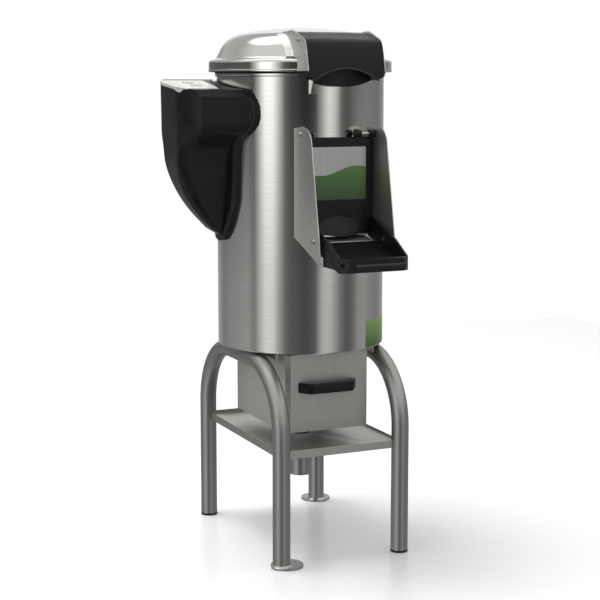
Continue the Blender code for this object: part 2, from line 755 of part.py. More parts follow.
def housing_loft(inset):
    """The housing's outer form, or the space inside its wall."""
    rings = []
    for level, reach, half, depth, flat, round_share in HOUSING_SHARES:
        z = HOUSING_TIP + level * HOUSING_TALL + inset
        outer = -DRUM_R - reach * HOUSING_REACH + inset
        side = half * HOUSING_HALF - inset
        start = (outer + depth * HOUSING_REACH, side)
        end = (outer, flat * side)
        middle = Vector(start).lerp(Vector(end), 0.5).lerp(Vector((outer, side)), round_share)
        corner = bent(start, middle, end, 3)
        back = [(-DRUM_R / 2 + inset, side)]
        plan = back + corner + [(x, -y) for x, y in reversed(back + corner)]
        rings.append([(x, y, z) for x, y in plan])
    return loft(rings)


def above_top(drop):
    """The space over the sloping top and its chamfers, lowered by drop."""
    edge = HOUSING_HALF - HOUSING_CHAMFER
    steep = HOUSING_CHAMFER_TALL / HOUSING_CHAMFER
    run = HOUSING_CHAMFER + OVERRUN
    outline = [
        (-edge - run, top_level(-edge) - steep * run - drop), (-edge, top_level(-edge) - drop),
        (edge, top_level(edge) - drop), (edge + run, top_level(edge) - steep * run - drop),
        (edge + run, CROWN_TOP + OVERRUN), (-edge - run, CROWN_TOP + OVERRUN),
    ]
    return prism("X", outline, -DRUM_R - HOUSING_REACH - OVERRUN, OVERRUN)


def on_top(mesh):
    """Moves a mesh made on z = 0 onto the sloping top, at the buttons' middle."""
    return aimed(mesh, (0, -HOUSING_SLOPE_SHARE, 1), (-DRUM_R - BUTTON_OUT, 0, top_level(0)))


def button_foot(side):
    """Where a button's axis meets the sloping top."""
    along = Vector((0, 1, HOUSING_SLOPE_SHARE)).normalized()
    return Vector((-DRUM_R - BUTTON_OUT, 0, top_level(0))) + along * (side * BUTTON_APART / 2)


def button_holes(radius, low, high):
    return [on_top(rod("Z", (0, side * BUTTON_APART / 2), radius, low, high)) for side in (-1, 1)]


def gland_foot():
    (low, _, narrow, *_), (high, _, wide, *_) = HOUSING_SHARES[-3:-1]
    share = ((GLAND_Z - HOUSING_TIP) / HOUSING_TALL - low) / (high - low)
    return (-DRUM_R - BUTTON_OUT, (narrow + (wide - narrow) * share) * HOUSING_HALF + FIT, GLAND_Z)


def side_housing():
    shell = cut(housing_loft(0), above_top(0))
    cavity = cut(housing_loft(HOUSING_WALL), above_top(HOUSING_WALL))
    back = rod("Z", (0, 0), DRUM_R + COLLAR_THICK + 2 * FIT, 0, CROWN_TOP, ROUND_STEPS)
    x, y, z = gland_foot()
    gland = rod("Y", (x, z), GLAND_R, y - OVERRUN, y + OVERRUN)
    return cut(shell, cavity, back, gland, *button_holes(BUTTON_R + FIT, -OVERRUN, OVERRUN))


def side_collar():
    front = [(-half * COLLAR_HALF, HOUSING_TIP + level * HOUSING_TALL) for half, level in COLLAR_SHARES]
    rise = [HOUSING_SLOPE_SHARE * -2 * y for y, _ in front[:COLLAR_SLOPED]] + [0] * len(front)
    rear = [(-y, z + up) for (y, z), up in zip(front, rise)]
    outline = front + [(0, HOUSING_TIP - CATCH_SHEET)] + rear[::-1]
    band = ring(DRUM_R + FIT, DRUM_R + FIT + COLLAR_THICK, HOUSING_TIP - OVERRUN, DRUM_TOP)
    window = [(-half * COLLAR_HALF, HOUSING_TIP + level * HOUSING_TALL) for half, level in WINDOW_SHARES]
    window += [(-y, z) for y, z in reversed(window)]
    outer = -DRUM_R - HOUSING_REACH
    return cut(overlap(band, prism("X", outline, outer, 0)), prism("X", window, outer, 0))


def control_panel():
    half = HOUSING_HALF - HOUSING_CHAMFER - PANEL_MARGIN
    outer = -DRUM_R - HOUSING_REACH + 2 * PANEL_MARGIN
    inner = -DRUM_R - COLLAR_THICK - 2 * PANEL_MARGIN
    low, high = FIT, FIT + PANEL_THICK
    outline = [(y, top_level(y) + up) for y, up in ((-half, low), (half, low), (half, high), (-half, high))]
    slab = prism("X", outline, outer, inner)
    depth = HOUSING_SHARES[-1][3] * HOUSING_REACH
    flat = HOUSING_SHARES[-1][4] * half
    side = [(inner, half), (outer + depth, half), (outer, flat)]
    plan = prism("Z", side + [(x, -y) for x, y in reversed(side)], HOUSING_TIP, CROWN_TOP)
    return cut(overlap(slab, plan), *button_holes(BUTTON_R + FIT, -OVERRUN, OVERRUN))


def push_button():
    """A button on the vertical line through the origin, with the housing's top at z = 0."""
    top = FIT + PANEL_THICK + BUTTON_PROUD
    under = -HOUSING_WALL - FIT
    flange = BUTTON_R + BUTTON_FLANGE
    profile = [
        (0, top), (BUTTON_R - RUNNING, top), (BUTTON_R, top - RUNNING / 2), (BUTTON_R, under),
        (flange, under), (flange, under - BUTTON_FLANGE_THICK), (0, under - BUTTON_FLANGE_THICK),
    ]
    return turned(profile, SMALL_STEPS)


def switch_block():
    high = -HOUSING_WALL - FIT
    pocket_r = BUTTON_R + BUTTON_FLANGE + RUNNING
    half_x = pocket_r + PANEL_THICK
    half_y = BUTTON_APART / 2 + half_x
    block = on_top(box((-half_x, -half_y, high - SWITCH_TALL), (half_x, half_y, high)))
    depth = BUTTON_FLANGE_THICK + BUTTON_TRAVEL + RUNNING
    return cut(block, *button_holes(pocket_r, high - depth, OVERRUN))


CHASSIS_R = DRUM_R + COLLAR_THICK + 2 * FIT


def relay_chassis():
    high = HOUSING_TIP + HOUSING_TALL - CHASSIS_DROP
    low = high - CHASSIS_TALL
    band = ring(CHASSIS_R, CHASSIS_R + PANEL_THICK, low, high)
    return overlap(band, box((-CHASSIS_R - OVERRUN, -CHASSIS_HALF, low - OVERRUN), (0, CHASSIS_HALF, high + OVERRUN)))


def contactor():
    back = -CHASSIS_R - PANEL_THICK - FIT
    low = HOUSING_TIP + HOUSING_SHARES[-3][0] * HOUSING_TALL
    high = low + CONTACTOR_TALL
    step = CONTACTOR_TALL / 4
    base = box((back - CONTACTOR_DEEP * 2 / 3, -CONTACTOR_HALF, low), (back, CONTACTOR_HALF, high))
    nose = box(
        (back - CONTACTOR_DEEP, -CONTACTOR_HALF, low + step),
        (back - CONTACTOR_DEEP / 2, CONTACTOR_HALF, high - step),
    )
    return join(base, nose)


def cable_gland():
    nut = GLAND_R + BUTTON_FLANGE
    profile = [
        (GLAND_BORE_R, -GLAND_R), (GLAND_R - FIT, -GLAND_R), (GLAND_R - FIT, 0), (nut, 0),
        (nut, GLAND_R), (GLAND_R, GLAND_R + BUTTON_FLANGE), (GLAND_R, GLAND_LONG), (GLAND_BORE_R, GLAND_LONG),
    ]
    return aimed(turned(profile, TINY_STEPS), (0, 1, 0), gland_foot())


node("side_collar", side_collar(), BLACK)
node("side_housing", side_housing(), BLACK)
node("control_panel", control_panel(), SILVER)
for name, side, entry in (("start_button", -1, GREEN), ("stop_button", 1, RED)):
    button = push_button()
    button.transform(Matrix.Translation((0, side * BUTTON_APART / 2, 0)))
    node(name, on_top(button), entry, button_foot(side))
node("switch_block", switch_block(), GREY)
node("relay_chassis", relay_chassis(), STEEL_DARK)
node("contactor", contactor(), GREY)
node("cable_gland", cable_gland(), BLACK)


# Discharge outlet: frame, door, steel cheeks and the tilting tray

DOOR_BACK = FRAME_FRONT + 2 * FIT + SEAL_THICK
DOOR_FRONT = DOOR_BACK + DOOR_THICK
DOOR_HIGH = ROD_Z - DOOR_TOP_GAP
DOOR_PIVOT = (0, -ROD_OUT, ROD_Z)
TRAY_PIVOT = (0, -TRAY_PIVOT_OUT, TRAY_PIVOT_Z)
# Outward reach and height of the cheek's corners; the third is the control point of its upper bend
CHEEK_SHARES = ((0.528, 0.993), (0.72, 1.0), (0.8, 1.0), (0.835, 0.918), (1.0, 0.0), (0.528, 0.188))


def outlet_frame():
    half = CHEEK_INNER - FIT
    frame = box(
        (-half, -FRAME_FRONT, OPENING_LOW - FRAME_BORDER_LOW), (half, -DRUM_R / 2, OPENING_HIGH + FRAME_BORDER_HIGH)
    )
    opening = box(
        (-OPENING_HALF, -FRAME_FRONT - OVERRUN, OPENING_LOW), (OPENING_HALF, 0, OPENING_HIGH)
    )
    return cut(frame, opening, drum_cutter())


def door_seal():
    near, far = SEAL_EDGE, SEAL_EDGE + SEAL_WIDE
    front, back = -FRAME_FRONT - FIT - SEAL_THICK, -FRAME_FRONT - FIT
    outer = box((-OPENING_HALF - far, front, OPENING_LOW - far), (OPENING_HALF + far, back, OPENING_HIGH + far))
    inner = box(
        (-OPENING_HALF - near, front - OVERRUN, OPENING_LOW - near),
        (OPENING_HALF + near, back + OVERRUN, OPENING_HIGH + near),
    )
    return cut(outer, inner)


def grip_form(widest, wall, root, steps=10):
    """The door's grip, bulging out under its arch: the outer form, or with a wall the space behind it."""
    rings = []
    for i in range(steps + 1):
        place = widest * (-1 + 2 * i / steps)
        middle = 1 - place * place
        arch = DOOR_LOW + DOOR_SAG + GRIP_RISE * middle - wall * 2
        low = DOOR_LOW + DOOR_SAG - DOOR_SAG * middle + RUNNING - wall * 4
        out = GRIP_REACH * middle - wall
        curve = []
        for k in range(5):
            t = k / 4
            bulge = t * (1 + GRIP_BULGE_SHARE * (1 - t))
            curve.append((-DOOR_FRONT + FIT - (out + FIT) * bulge, arch + (low - arch) * t))
        quarter = (arch - low) / 4
        section = [(-DOOR_FRONT + root, arch - quarter), *curve, (-DOOR_FRONT + root, low + quarter)]
        rings.append([(place * OPENING_HALF, y, z) for y, z in section])
    return loft(rings)


def discharge_door():
    outline = [(-DOOR_HALF, DOOR_HIGH), (-DOOR_HALF, OPENING_LOW)]
    outline += across(OPENING_HALF, DOOR_LOW + DOOR_SAG, -DOOR_SAG, 12)
    outline += [(DOOR_HALF, OPENING_LOW), (DOOR_HALF, DOOR_HIGH)]
    door = prism("Y", outline, -DOOR_FRONT, -DOOR_BACK)
    face = -DOOR_FRONT + LABEL_DEEP
    for low, high in ((LABEL_LOW, LABEL_HIGH), (BAND_LOW, BAND_HIGH)):
        door = cut(door, box((-LABEL_HALF, -DOOR_FRONT - OVERRUN, low), (LABEL_HALF, face, high)))
    axis = (-ROD_OUT, ROD_Z)
    knuckles = ((KNUCKLE_NEAR, KNUCKLE_NEAR + KNUCKLE_WIDE, KNUCKLE_R), (EAR_NEAR, DOOR_HALF - FIT, EAR_R))
    for near, far, radius in knuckles:
        for side in (-1, 1):
            ends = sorted((side * near, side * far))
            web = box((ends[0], -DOOR_FRONT, DOOR_HIGH - RUNNING), (ends[1], -DOOR_BACK, ROD_Z))
            door = join(door, web, rod("X", axis, radius, *ends))
    door = join(door, grip_form(GRIP_FORM_SHARE, 0, GRIP_ROOT))
    bore = rod("X", axis, ROD_R + FIT, -DOOR_HALF, DOOR_HALF)
    return cut(door, grip_form(GRIP_SPACE_SHARE, GRIP_WALL, 2 * FIT), bore)


def headed_rod(radius, head_r, near, far):
    """A rod along +X from near to far, with a head past far."""
    return [(0, near), (radius, near), (radius, far), (head_r, far), (head_r, far + SCREW_HEAD_TALL)]


def door_hinge_rod():
    far = CHEEK_INNER + CHEEK_SHEET + FIT
    near, end = DOOR_HALF + RUNNING, CHEEK_INNER - FIT
    spacer = [(ROD_R, near), (SPACER_R, near), (SPACER_R, end), (ROD_R, end)]
    half = spacer + headed_rod(ROD_R, SCREW_HEAD_R + RUNNING, 0, far)[2:]
    tip = (0, far + SCREW_HEAD_TALL)
    profile = [(0, -tip[1])] + [(r, -x) for r, x in reversed(half)] + half + [tip]
    return aimed(turned(profile, TINY_STEPS), (1, 0, 0), DOOR_PIVOT)


def outlet_cheek():
    points = [(-out * CHEEK_REACH, CHEEK_LOW + up * CHEEK_TALL) for out, up in CHEEK_SHARES]
    outline = points[:1] + bent(points[1], points[2], points[3], 4) + points[4:]
    plate = prism("X", outline, CHEEK_INNER, CHEEK_INNER + CHEEK_SHEET)
    bores = [
        rod("X", centre, radius + FIT, 0, DRUM_R, TINY_STEPS)
        for centre, radius in (((-ROD_OUT, ROD_Z), ROD_R), ((-TRAY_PIVOT_OUT, TRAY_PIVOT_Z), TRAY_PIN_R))
    ]
    return cut(plate, drum_cutter(), *bores)


def outlet_sill():
    band = drum_band(SILL_SHEET, SILL_HALF, SILL_Z - SILL_FLANGE, SILL_Z - SILL_SHEET / 2)
    fold = -DRUM_R - 2 * SILL_SHEET
    line = [(-DRUM_R / 2, SILL_Z), (fold, SILL_Z), (-SILL_REACH, SILL_Z - SILL_DROP)]
    lip = prism("X", line + [(y, z - SILL_SHEET) for y, z in reversed(line)], -SILL_HALF, SILL_HALF)
    return join(band, cut(lip, drum_cutter()))


def chute_tray():
    """Side walls, floor and grip bar of the tray, which stands between the cheeks."""
    pivot = TRAY_PIVOT[1:]
    tail = arc(pivot, TRAY_TAIL_R, 0, TRAY_TAIL_ANGLE, 4)
    outline = tail + [
        (-TRAY_BEND_OUT, TRAY_BEND_Z), (-TRAY_REACH + TRAY_BAR, TRAY_BAR_HIGH),
        (-TRAY_REACH, TRAY_BAR_HIGH - RUNNING), (-TRAY_REACH, TRAY_BAR_LOW + RUNNING),
        (-TRAY_REACH + TRAY_CORNER, TRAY_BAR_LOW),
    ]
    tray = prism("X", outline, -TRAY_HALF, TRAY_HALF)
    (low_y, low_z), (tail_y, tail_z) = outline[-1], tail[0]
    slope = (tail_z - low_z) / (tail_y - low_y)
    back = -SILL_REACH - 2 * RUNNING
    front = -TRAY_REACH + TRAY_BAR
    inner = TRAY_HALF - TRAY_WALL
    ground = [(y, low_z + slope * (y - low_y) + TRAY_FLOOR) for y in (front, back)]
    space = ground + [
        (back, CHEEK_LOW - OVERRUN), (-DRUM_R / 2, CHEEK_LOW - OVERRUN), (-DRUM_R / 2, ROD_Z), (front, ROD_Z),
    ]
    corner = TRAY_HALF - TRAY_CORNER
    side = [(TRAY_HALF + RUNNING, 0), (TRAY_HALF + RUNNING, -TRAY_REACH + TRAY_CORNER - RUNNING)]
    side += [(corner, -TRAY_REACH - RUNNING)]
    plan = prism("Z", side + [(-x, y) for x, y in reversed(side)], 0, ROD_Z)
    middle = (TRAY_BAR_LOW + TRAY_BAR_HIGH) / 2 + TRAY_GROOVE / 2
    groove = box(
        (-corner + TRAY_GROOVE, -TRAY_REACH - OVERRUN, middle - TRAY_GROOVE / 2),
        (corner - TRAY_GROOVE, -TRAY_REACH + TRAY_GROOVE_DEEP, middle + TRAY_GROOVE / 2),
    )
    hole = rod("X", (front - TRAY_WALL, middle), TRAY_HOLE_R, -TRAY_REACH, -inner + TRAY_WALL, TINY_STEPS)
    bore = rod("X", pivot, TRAY_PIN_R + FIT, -TRAY_REACH, TRAY_REACH, TINY_STEPS)
    return cut(overlap(tray, plan), prism("X", space, -inner, inner), groove, hole, bore)


def tray_pin():
    near = TRAY_HALF - TRAY_WALL - RUNNING
    shoulder = TRAY_HALF + RUNNING
    cheek = CHEEK_INNER - FIT
    far = CHEEK_INNER + CHEEK_SHEET + FIT
    wide = TRAY_PIN_R + CHEEK_SHEET
    profile = [
        (0, near), (TRAY_PIN_R, near), (TRAY_PIN_R, shoulder), (wide, shoulder), (wide, cheek),
        (TRAY_PIN_R, cheek), *headed_rod(TRAY_PIN_R, SCREW_HEAD_R + RUNNING, near, far)[2:],
        (0, far + SCREW_HEAD_TALL),
    ]
    return aimed(turned(profile, TINY_STEPS), (1, 0, 0), TRAY_PIVOT)


node("outlet_frame", outlet_frame(), BLACK)
node("door_seal", door_seal(), RUBBER)
node("discharge_door", discharge_door(), BLACK, DOOR_PIVOT)
node("door_hinge_rod", door_hinge_rod(), STEEL_DARK)
node("outlet_cheek_right", outlet_cheek(), STEEL)
node("outlet_cheek_left", mirrored(outlet_cheek()), STEEL)
node("outlet_sill", outlet_sill(), STEEL)
node("chute_tray", chute_tray(), BLACK, TRAY_PIVOT)
node("tray_pin_right", tray_pin(), STEEL_DARK)
node("tray_pin_left", mirrored(tray_pin()), STEEL_DARK)


# Filter drawer in its sheet housing, under the drum

BOX_HIGH = DRUM_BOTTOM - FIT


def drawer_housing():
    inner = BOX_HALF - BOX_SHEET
    shell = box((-BOX_HALF, -BOX_FRONT, BOX_LOW), (BOX_HALF, BOX_BACK, BOX_HIGH))
    space = box((-inner, -BOX_FRONT - OVERRUN, BOX_LOW + BOX_SHEET), (inner, BOX_BACK - BOX_SHEET, BOX_HIGH + OVERRUN))
    window = floor_window(BOX_LOW - OVERRUN, BOX_LOW + OVERRUN)
    line = [(BOX_HALF - BOX_SHEET / 2, BOX_HIGH), (BOX_HALF + HANGER_WIDE, BOX_HIGH)]
    line += [(BOX_HALF + HANGER_WIDE, BOX_HIGH - HANGER_DROP)]
    hanger = prism("Y", ribbon(line, -BOX_SHEET), -BOX_FRONT, BOX_BACK)
    return join(cut(shell, space, window), hanger, mirrored(hanger))


def floor_window(low, high):
    half = BOX_HALF * BOX_WINDOW_SHARE
    return box((-half, -BOX_FRONT * BOX_WINDOW_SHARE, low), (half, BOX_BACK * BOX_WINDOW_SHARE, high))


def filter_drawer():
    half = BOX_HALF - BOX_SHEET - RUNNING
    low = BOX_LOW + BOX_SHEET + FIT
    back = BOX_BACK - BOX_SHEET - RUNNING
    front = -BOX_FRONT - FIT - RUNNING
    body = box((-half, front, low), (half, back, DRAWER_HIGH))
    inner = half - BOX_SHEET
    space = box(
        (-inner, -BOX_FRONT + BOX_SHEET, low + BOX_SHEET), (inner, back - BOX_SHEET, DRAWER_HIGH + OVERRUN)
    )
    face_back = -BOX_FRONT - FIT
    face = box(
        (-BOX_HALF, face_back - DRAWER_FACE, BOX_LOW), (BOX_HALF, face_back, BOX_HIGH - DRAWER_FACE_DROP)
    )
    return join(cut(body, space, floor_window(low - OVERRUN, low + OVERRUN)), face)


def filter_screen():
    """A slotted plate that lies on the drawer's floor."""
    half = BOX_HALF - 2 * BOX_SHEET - 2 * RUNNING
    low = BOX_LOW + 2 * BOX_SHEET + 2 * FIT
    front = -BOX_FRONT + BOX_SHEET + RUNNING
    back = BOX_BACK - 2 * BOX_SHEET - 2 * RUNNING
    screen = box((-half, front, low), (half, back, low + SCREEN_THICK))
    pitch = (back - front - 2 * SCREEN_EDGE) / (SCREEN_ROWS - 1)
    for row in range(SCREEN_ROWS):
        y = front + SCREEN_EDGE + pitch * row
        for near, far in ((-half + SCREEN_EDGE, -SCREEN_SLOT), (SCREEN_SLOT, half - SCREEN_EDGE)):
            slot = box((near, y - SCREEN_SLOT / 2, low - OVERRUN), (far, y + SCREEN_SLOT / 2, low + OVERRUN))
            screen = cut(screen, slot)
    return screen


def drawer_handle():
    """A bow with rounded corners whose feet stand on the drawer's face."""
    face = -BOX_FRONT - 2 * FIT - DRAWER_FACE
    bar = face - BOW_OUT + BOW_THICK
    foot = (-BOW_HALF, face)
    corner = (-BOW_HALF, bar)
    side = [foot] + bent((-BOW_HALF, bar + BOW_BEND), corner, (-BOW_HALF + BOW_BEND, bar), 4)
    line = side + [(-x, y) for x, y in reversed(side)]
    return prism("Z", ribbon(line, -BOW_THICK), BOW_LOW, BOW_LOW + BOW_TALL)


node("drawer_housing", drawer_housing(), STEEL)
DRAWER_PIVOT = (0, -BOX_FRONT, BOX_LOW)
node("filter_drawer", filter_drawer(), STEEL, DRAWER_PIVOT)
node("filter_screen", filter_screen(), STEEL_DARK, DRAWER_PIVOT)
node("drawer_handle", drawer_handle(), BLACK, DRAWER_PIVOT)


# Stand: two bent tubes, a drained shelf between their legs, and the feet

TUBE_TOP_Z = DRUM_BOTTOM - FIT - TUBE_R


def stand_frame(x):
    """A tube bent into an upside-down U in the plane of one side."""
    bottom = FOOT_THICK + FIT
    middle_y, middle_z = LEG_Y - BEND_R, TUBE_TOP_Z - BEND_R
    path = [((-LEG_Y, bottom), 180)]
    for start, centre_y in ((180, -middle_y), (90, middle_y)):
        angles = [start - 90 * i / 6 for i in range(7)]
        path += [(arc((centre_y, middle_z), BEND_R, a, a, 1)[0], a) for a in angles]
    path.append(((LEG_Y, bottom), 0))
    rings = []
    for (y, z), angle in path:
        out_y, out_z = math.cos(math.radians(angle)), math.sin(math.radians(angle))
        section = circle((0, 0), TUBE_R, TUBE_STEPS)
        rings.append([(x + a, y + b * out_y, z + b * out_z) for a, b in section])
    return loft(rings)


def stand_shelf():
    high = SHELF_LOW + SHELF_LIP
    inner_x, inner_y = LEG_X - SHELF_SHEET, LEG_Y - SHELF_SHEET
    pan = box((-LEG_X, -LEG_Y, SHELF_LOW), (LEG_X, LEG_Y, high))

    def level(half_x, half_y, z):
        return [(-half_x, -half_y, z), (half_x, -half_y, z), (half_x, half_y, z), (-half_x, half_y, z)]

    fall = 2 * SHELF_SHEET
    space = loft([
        level(DRAIN_R, DRAIN_R, SHELF_LOW + SHELF_SHEET), level(inner_x, inner_y, SHELF_LOW + SHELF_SHEET + fall),
        level(inner_x, inner_y, high + OVERRUN),
    ])
    drain = rod("Z", (0, 0), DRAIN_R - DRAIN_WALL, SHELF_LOW - OVERRUN, high)
    legs = [
        rod("Z", (x, y), TUBE_R + FIT, SHELF_LOW - OVERRUN, high + OVERRUN, TUBE_STEPS)
        for x in (-LEG_X, LEG_X) for y in (-LEG_Y, LEG_Y)
    ]
    return cut(pan, space, drain, *legs)


def foot_plate(leg, offset):
    centre = Vector(leg) + Vector(offset)
    plate = rod("Z", centre, FOOT_R, 0, FOOT_THICK, FOOT_STEPS)
    hole = centre + Vector(offset).normalized() * FOOT_HOLE_OUT
    return cut(plate, rod("Z", hole, FOOT_HOLE_R, -OVERRUN, OVERRUN, TINY_STEPS))


def foot_cap(x, y):
    """A flat rubber foot in the end of a tube."""
    return rod("Z", (x, y), CAP_R, 0, FOOT_THICK, TUBE_STEPS)


node("stand_frame_left", stand_frame(-LEG_X), STEEL)
node("stand_frame_right", stand_frame(LEG_X), STEEL)
node("stand_shelf", stand_shelf(), STEEL)
node("drain_pipe", ring(DRAIN_R - DRAIN_WALL, DRAIN_R, DRAIN_LOW, SHELF_LOW - FIT, SMALL_STEPS), STEEL)
node("foot_plate_front_left", foot_plate((-LEG_X, -LEG_Y), (FRONT_FOOT_X, FRONT_FOOT_Y)), STEEL)
node("foot_plate_back_right", foot_plate((LEG_X, LEG_Y), (BACK_FOOT_X, BACK_FOOT_Y)), STEEL)
node("foot_cap_back_left", foot_cap(-LEG_X, LEG_Y), RUBBER)
node("foot_cap_front_right", foot_cap(LEG_X, -LEG_Y), RUBBER)


# Washing chamber: a pressed floor, and the ribbed disc that turns over it

WALL_INNER = DRUM_R - DRUM_WALL
FLOOR_TOP = FLOOR_Z + FLOOR_SHEET


def duct_rod(radius, low, high):
    return rod("Z", (0, DUCT_Y), radius, low, high)


def bowl_floor():
    outer = WALL_INNER - FIT
    hub = CARRIER_R + FIT
    rim = FLOOR_TOP + FLOOR_RIM
    floor = turned([
        (hub, FLOOR_Z), (outer, FLOOR_Z), (outer, rim), (outer - DRUM_WALL, rim),
        (outer - DRUM_WALL, FLOOR_TOP), (hub, FLOOR_TOP),
    ], HIDDEN_STEPS)
    return cut(floor, duct_rod(DUCT_R - DUCT_WALL, FLOOR_Z - OVERRUN, FLOOR_TOP + OVERRUN))


def cleaning_disc():
    bore = SHAFT_END_R + FIT
    high = DISC_Z + DISC_THICK
    hub_top = high + RIB_TALL
    disc = turned([
        (bore, DISC_Z), (DISC_R, DISC_Z), (DISC_R, high), (DISC_HUB_R, high),
        (DISC_HUB_R - RUNNING, hub_top), (bore, hub_top),
    ], HIDDEN_STEPS)
    section = [(-RIB_HALF, high - RUNNING), (RIB_HALF, high - RUNNING), (0, hub_top - RUNNING)]
    for i in range(RIB_COUNT):
        rib = prism("X", section, DISC_HUB_R - RIB_HALF, DISC_R - RIB_END)
        rib.transform(Matrix.Rotation(2 * math.pi * (i + 0.5) / RIB_COUNT, 4, "Z"))
        disc = join(disc, rib)
    return disc


def drive_shaft():
    shoulder = DISC_Z - FIT
    top = DISC_Z + DISC_THICK + RIB_TALL + NUT_TALL / 2
    low = PULLEY_Z - RUNNING * 2
    profile = [(0, low), (SHAFT_R, low), (SHAFT_R, shoulder), (SHAFT_END_R, shoulder), (SHAFT_END_R, top), (0, top)]
    return turned(profile, SMALL_STEPS)


def disc_nut():
    low = DISC_Z + DISC_THICK + RIB_TALL + FIT
    bore = SHAFT_END_R + FIT
    inside = low + NUT_TALL / 2 + RUNNING
    profile = [
        (bore, low), (NUT_R, low), (NUT_R, low + NUT_TALL / 2), (NUT_R / 2, low + NUT_TALL),
        (0, low + NUT_TALL), (0, inside), (bore, inside),
    ]
    return turned(profile, TINY_STEPS)


def bearing_housing():
    flange_high = FLOOR_Z - FIT
    flange_low = flange_high - CARRIER_FLANGE
    return turned([
        (BEARING_OUTER_R, CARRIER_LOW), (CARRIER_R, CARRIER_LOW), (CARRIER_R, flange_low),
        (CARRIER_FLANGE_R, flange_low), (CARRIER_FLANGE_R, flange_high), (CARRIER_R, flange_high),
        (CARRIER_R, CARRIER_HIGH), (BEARING_OUTER_R, CARRIER_HIGH),
    ], SMALL_STEPS)


def shaft_ring(low, tall):
    """A bearing or a seal between the shaft and the bore of its housing."""
    return ring(SHAFT_R + FIT, BEARING_OUTER_R - FIT, low, low + tall, SMALL_STEPS)


# Drive: the motor stands on the base plate and turns the shaft through a belt

MOTOR_AXIS = (-MOTOR_OUT, 0)
BASE_Z = DRUM_BOTTOM + DRUM_WALL + FIT
PULLEY_HIGH = PULLEY_Z + PULLEY_TALL


def driven_pulley():
    bore, web = SHAFT_R + FIT, PULLEY_TALL / 3
    rim = PULLEY_R - PULLEY_RIM
    return turned([
        (bore, PULLEY_Z), (PULLEY_HUB_R, PULLEY_Z), (PULLEY_HUB_R, PULLEY_Z + web), (rim, PULLEY_Z + web),
        (rim, PULLEY_Z), (PULLEY_R, PULLEY_Z), (PULLEY_R, PULLEY_HIGH), (rim, PULLEY_HIGH),
        (rim, PULLEY_HIGH - web), (PULLEY_HUB_R, PULLEY_HIGH - web), (PULLEY_HUB_R, PULLEY_HIGH), (bore, PULLEY_HIGH),
    ], SMALL_STEPS)


def belt_line(gap):
    """Outline round both pulleys at a gap, with the straight runs as tangents."""
    lean = math.degrees(math.acos((PULLEY_R - MOTOR_PULLEY_R) / MOTOR_OUT))
    large = arc((0, 0), PULLEY_R + gap, lean - 180, 180 - lean, 18)
    return large + arc(MOTOR_AXIS, MOTOR_PULLEY_R + gap, 180 - lean, 180 + lean, 9)


def drive_belt():
    low = PULLEY_Z + (PULLEY_TALL - BELT_TALL) / 2
    inside = 2 * FIT
    outer = prism("Z", belt_line(inside + BELT_THICK), low, low + BELT_TALL)
    return cut(outer, prism("Z", belt_line(inside), low - OVERRUN, low + BELT_TALL + OVERRUN))


def motor():
    low = BASE_Z + BASE_SHEET + FIT
    foot = low + MOTOR_FOOT
    shoulder = MOTOR_HIGH - MOTOR_FOOT
    profile = [
        (0, low), (MOTOR_FOOT_R, low), (MOTOR_FOOT_R, foot), (MOTOR_R, foot), (MOTOR_R, shoulder),
        (MOTOR_R - 2 * MOTOR_FOOT, MOTOR_HIGH), (0, MOTOR_HIGH),
    ]
    body = turned(profile, SMALL_STEPS, MOTOR_AXIS)
    return cut(body, rod("Z", MOTOR_AXIS, MOTOR_SHAFT_R + FIT, MOTOR_SHAFT_LOW - FIT, MOTOR_HIGH + OVERRUN))


def base_plate():
    plate = rod("Z", (0, 0), WALL_INNER - BASE_EDGE, BASE_Z, BASE_Z + BASE_SHEET, HIDDEN_STEPS)
    return cut(plate, duct_rod(DUCT_R + FIT, BASE_Z - OVERRUN, BASE_Z + OVERRUN))


def water_inlet():
    flange = FIT + INLET_FLANGE
    nut = flange + INLET_NUT
    profile = [
        (INLET_BORE_R, -INLET_R), (INLET_R, -INLET_R), (INLET_R, FIT), (INLET_FLANGE_R, FIT),
        (INLET_FLANGE_R, flange), (INLET_NUT_R, flange), (INLET_NUT_R, nut), (INLET_R, nut),
        (INLET_R, INLET_LONG), (INLET_BORE_R, INLET_LONG),
    ]
    return aimed(turned(profile, TINY_STEPS), (0, 1, 0), (0, DRUM_R, INLET_Z))


MOTOR_PIVOT = (*MOTOR_AXIS, MOTOR_HIGH)
DISC_PIVOT = (0, 0, DISC_Z)
node("bowl_floor", bowl_floor(), STEEL)
node("cleaning_disc", cleaning_disc(), CERAMIC, DISC_PIVOT)
node("disc_nut", disc_nut(), STEEL_DARK, DISC_PIVOT)
node("drive_shaft", drive_shaft(), STEEL_DARK, DISC_PIVOT)
node("bearing_housing", bearing_housing(), GREY)
node("upper_bearing", shaft_ring(BEARING_HIGH_Z, BEARING_TALL), STEEL_DARK)
node("lower_bearing", shaft_ring(BEARING_LOW_Z, BEARING_TALL), STEEL_DARK)
node("shaft_seal", shaft_ring(SEAL_Z, SEAL_TALL), RUBBER)
node("driven_pulley", driven_pulley(), GREY, DISC_PIVOT)
node("drive_belt", drive_belt(), RUBBER)
motor_pulley = ring(MOTOR_SHAFT_R + FIT, MOTOR_PULLEY_R, PULLEY_Z, PULLEY_HIGH, SMALL_STEPS, MOTOR_AXIS)
node("motor_pulley", motor_pulley, STEEL_DARK, MOTOR_PIVOT)
motor_shaft = rod("Z", MOTOR_AXIS, MOTOR_SHAFT_R, MOTOR_SHAFT_LOW, PULLEY_HIGH + RUNNING)
node("motor_shaft", motor_shaft, STEEL_DARK, MOTOR_PIVOT)
node("motor", motor(), GREY)
node("base_plate", base_plate(), STEEL)
duct = ring(DUCT_R - DUCT_WALL, DUCT_R, DUCT_LOW, FLOOR_Z - FIT, SMALL_STEPS, (0, DUCT_Y))
